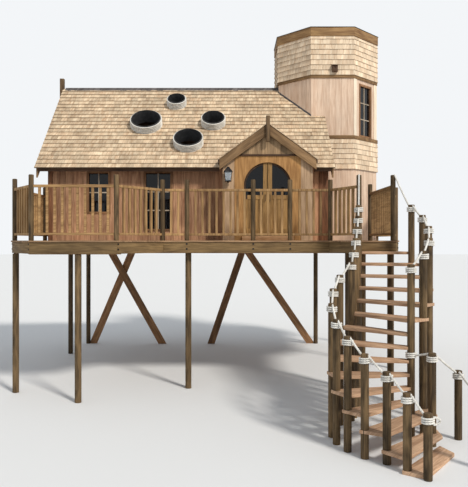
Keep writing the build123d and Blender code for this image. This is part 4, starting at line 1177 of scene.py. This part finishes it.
# Cabin corners and floor: planed boards cover the corners of the walls, and a boxed post stands where the
# cabin meets the tower. Inside, narrow floorboards run the length of the room.
corner_trim_wood = timber("corner_trim_wood", (150, 102, 70), (98, 64, 44), spread=0.3, weather=0.2)
cabin_low, cabin_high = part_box("front_wall")[0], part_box("rear_wall")[1]
eave_soffit = deck_level + 1.735
trim_wide, trim_thick, post_x, post_y, joint = 0.085, 0.018, 0.135, 0.14, 0.001
trims = []
for corner_x, way_x in ((cabin_low.x, 1), (cabin_high.x, -1)):
    for corner_y, way_y in ((cabin_low.y, 1), (cabin_high.y, -1)):
        out_x, out_y = corner_x - way_x * trim_thick, corner_y - way_y * trim_thick
        spans = [((out_x, corner_x + way_x * trim_wide), (out_y, corner_y))]
        if way_x > 0:
            spans.append(((out_x, corner_x), (corner_y + way_y * joint, corner_y + way_y * trim_wide)))
        for span_x, span_y in spans:
            low = (min(span_x), min(span_y), deck_level)
            trims.append(cut_board(low, (max(span_x), max(span_y), eave_soffit)))
post_low = (cabin_high.x + joint, cabin_low.y, deck_level)
trims.append(cut_board(post_low, (cabin_high.x + post_x, cabin_low.y + post_y, eave_soffit)))
set_timbers(join_pieces(trims, "corner_trims"), corner_trim_wood, "cedar_boards", seed=64, eased=0.003)
set_boards(
    "cabin_floor", "floorboards", deck_wood, "deck_timber", [z_axis], x_axis, y_axis,
    pitch=0.12, gap=0.004, depth=0.006, seed=65,
)

# Porch lantern: a black four-sided lantern on a bent arm, its sides tapering down to the foot.
# Four panes of clear ribbed glass sit in an iron cage under a pyramid cap.
lamp_low, lamp_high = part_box("porch_lantern")
lamp_x = (lamp_low.x + lamp_high.x) / 2
lamp_y = lamp_low.y + (lamp_high.x - lamp_low.x) / 2
lamp_top = lamp_high.z + 0.04
shoulder, foot_z = lamp_top - 0.11, lamp_low.z + 0.012


def four_sided(low_half, high_half, low, high):
    """A four-sided taper about the lantern's axis; halves are measured to its flats."""
    return add_solid(
        bpy.ops.mesh.primitive_cone_add,
        vertices=4, radius1=low_half * math.sqrt(2), radius2=high_half * math.sqrt(2), depth=high - low,
        location=(lamp_x, lamp_y, (low + high) / 2), rotation=(0, 0, math.radians(45)),
    )


cage = four_sided(0.062, 0.084, foot_z, shoulder)
shape_faces(
    cage,
    lambda centre, normal: abs(normal.z) < 0.5,
    lambda: bpy.ops.mesh.inset(thickness=0.009, use_individual=True),
    lambda: bpy.ops.mesh.delete(type="FACE"),
)
thickened = cage.modifiers.new("bar", "SOLIDIFY")
thickened.thickness = 0.006
thickened.offset = -1
bpy.ops.object.modifier_apply(modifier=thickened.name)
cap = four_sided(0.097, 0.016, shoulder, lamp_top)
shape_faces(cap, lambda centre, normal: normal.z < -0.9, lambda: push_faces((0, 0, -0.007)))
foot_plate = four_sided(0.066, 0.066, lamp_low.z, foot_z)
foot_point = four_sided(0.006, 0.034, lamp_low.z - 0.032, lamp_low.z + 0.001)
bracket_y, arm_z = lamp_high.y, lamp_top - 0.075
arm = iron_rod(
    [
        (lamp_x, bracket_y - 0.006, arm_z - 0.05),
        (lamp_x, bracket_y - 0.028, arm_z - 0.02),
        (lamp_x, bracket_y - 0.045, arm_z),
        (lamp_x, lamp_y + 0.03, arm_z + 0.004),
    ],
    diameter=0.014,
)
plate = cut_board(
    (lamp_x - 0.03, bracket_y - 0.008, lamp_low.z + 0.06), (lamp_x + 0.03, bracket_y, lamp_top - 0.04)
)
lantern = join_pieces([cage, cap, foot_plate, foot_point, arm, plate], "lantern_iron")
ease_edges(lantern, 0.0015)
set_piece(lantern, black_iron, "black_iron", "porch_lantern")
clear_glass = glass_finish("clear_glass", (214, 224, 232), smooth=0.05, smeared=0.25)
lantern_glass = four_sided(0.057, 0.079, foot_z + 0.004, shoulder - 0.002)
lantern_glass.name = "lantern_glass"
ease_edges(lantern_glass, 0.002)
set_piece(lantern_glass, clear_glass, "glass")

# Nest box: a small box of rough dark boards on the tower's front face, under the cornice.
# It has a round way in and a sloping lid, and is screwed to the wall through its back.
box_wood = timber("box_wood", (108, 78, 56), (62, 46, 36), weather=0.3)
set_part("nest_box", "nest_box_boards", box_wood, "cedar_boards", seed=66, eased=0.003)

# Stair treads: thick planks that run from post to post, each notched round the poles that carry its ends.
# They are a pale pinkish tan, with their long edges taken off.
tread_wood = timber("tread_wood", (224, 186, 152), (172, 134, 104), spread=0.3, weather=0.2)
for flight, seed in (("lower", 67), ("upper", 68)):
    node = flight + "_treads"
    set_part(node, flight + "_planks", tread_wood, "tread_boards", seed=seed, eased=0.005)


# Handrail ropes: soft pale rope as thick as a thumb, wound three times round each pole near its top.
# Taut lengths run from pole to pole with a slight sag and go in under the windings, which hold them.
def copy_to(pattern, place):
    """A copy of a pattern with its own mesh, carried to its place."""
    made = place_object(pattern.name, pattern.data.copy())
    made.data.transform(place)
    return made


def middle_of(solid):
    return Vector((solid.min(axis=0) + solid.max(axis=0)) / 2)


handrail_section = rope_outline(0.035, "handrail_section")
winding_section = rope_outline(0.027, "winding_section")
rope_lay, ring_radius, winding_rise = 0.092, 0.0723, 0.029
rings = []
for turn in range(3):
    ring = rope_ring(ring_radius, winding_section, rope_lay, step=0.011)
    raised = Matrix.Translation((0, 0, winding_rise * (turn - 1)))
    ring.data.transform(raised @ Matrix.Rotation(math.radians(3.5), 4, "X"))
    rings.append(ring)
wrap_pattern = join_pieces(rings, "wrap_pattern")
chance = random.Random(69)
wraps = solids_of("rope_wraps")
windings = [
    copy_to(
        wrap_pattern,
        Matrix.Translation(middle_of(wrap)) @ Matrix.Rotation(chance.uniform(0, math.tau), 4, "Z"),
    )
    for wrap in wraps
]
bpy.data.objects.remove(wrap_pattern)
# A short loop of the handrail rope hangs on the foot of the stair, round the foremost winding.
front_middle = middle_of(min(wraps, key=lambda wrap: wrap.min(axis=0)[1]))
loop_spots = []
for number in range(13):
    bend = math.radians(-100 + 200 * number / 12)
    reach = Vector((ring_radius + 0.076 * math.cos(bend), -0.02, 0.046 * math.sin(bend) - 0.008))
    loop_spots.append(front_middle + reach)
windings.append(lay_rope(loop_spots, handrail_section, rope_lay))
set_piece(join_pieces(windings, "wound_ropes"), pale_rope, "rope", "rope_wraps")
lengths = []
for span in solids_of("handrail_ropes"):
    centre = span.mean(axis=0)
    along = np.linalg.eigh(np.cov((span - centre).T))[1][:, 2]
    reach = (span - centre) @ along
    if reach.max() - reach.min() < 0.1:
        continue
    start, end = Vector(centre + along * reach.min()), Vector(centre + along * reach.max())
    run = end - start
    count = max(6, round(run.length / 0.012))
    sag = 0.02 * run.length
    shares = [number / count for number in range(count + 1)]
    spots = [start + run * share - z_axis * (4 * sag * share * (1 - share)) for share in shares]
    lengths.append(lay_rope(spots, handrail_section, rope_lay))
set_piece(join_pieces(lengths, "rail_ropes"), pale_rope, "rope", "handrail_ropes")
bpy.data.objects.remove(handrail_section)
bpy.data.objects.remove(winding_section)

# Coach bolts: domed black heads in pairs through the rim into each balustrade post.
# Each head stands on its washer, flat against the fascia board.
bolt_head = add_solid(
    bpy.ops.mesh.primitive_cylinder_add, vertices=12, radius=0.019, depth=0.004, location=(0, 0, 0.002)
)
for shrink, rise in ((0.004, 0.004), (0.003, 0.003), (0.005, 0.0015)):
    shape_faces(
        bolt_head,
        lambda centre, normal: normal.z > 0.9 and centre.z > 0.003 and abs(centre.x) < 0.002,
        lambda: bpy.ops.mesh.inset(thickness=shrink),
        lambda: push_faces((0, 0, rise)),
    )
rim_faces = [
    (face.center.copy(), face.normal.copy(), [rim.data.vertices[n].co for n in face.vertices])
    for face in rim.data.polygons
    if abs(face.normal.z) < 0.1 and face.area > 0.05
]
bolts = []
for post in solids_of("deck_newels"):
    place = middle_of(post)
    found = []
    for centre, normal, corners in rim_faces:
        out = (centre - place).dot(normal)
        level = Vector((-normal.y, normal.x, 0))
        along = [corner.dot(level) for corner in corners]
        if 0 < out < 0.2 and min(along) < place.dot(level) < max(along):
            found.append((out, normal))
    if found:
        out, normal = max(found, key=lambda pair: pair[0])
        turn = normal.to_track_quat("Z", "Y").to_matrix().to_4x4()
        for drop in (0.07, 0.17):
            spot = Vector((place.x, place.y, deck_level - drop)) + normal * (out - 0.0005)
            bolts.append(copy_to(bolt_head, Matrix.Translation(spot) @ turn))
bpy.data.objects.remove(bolt_head)
set_piece(join_pieces(bolts, "rim_bolts"), black_iron, "black_iron")
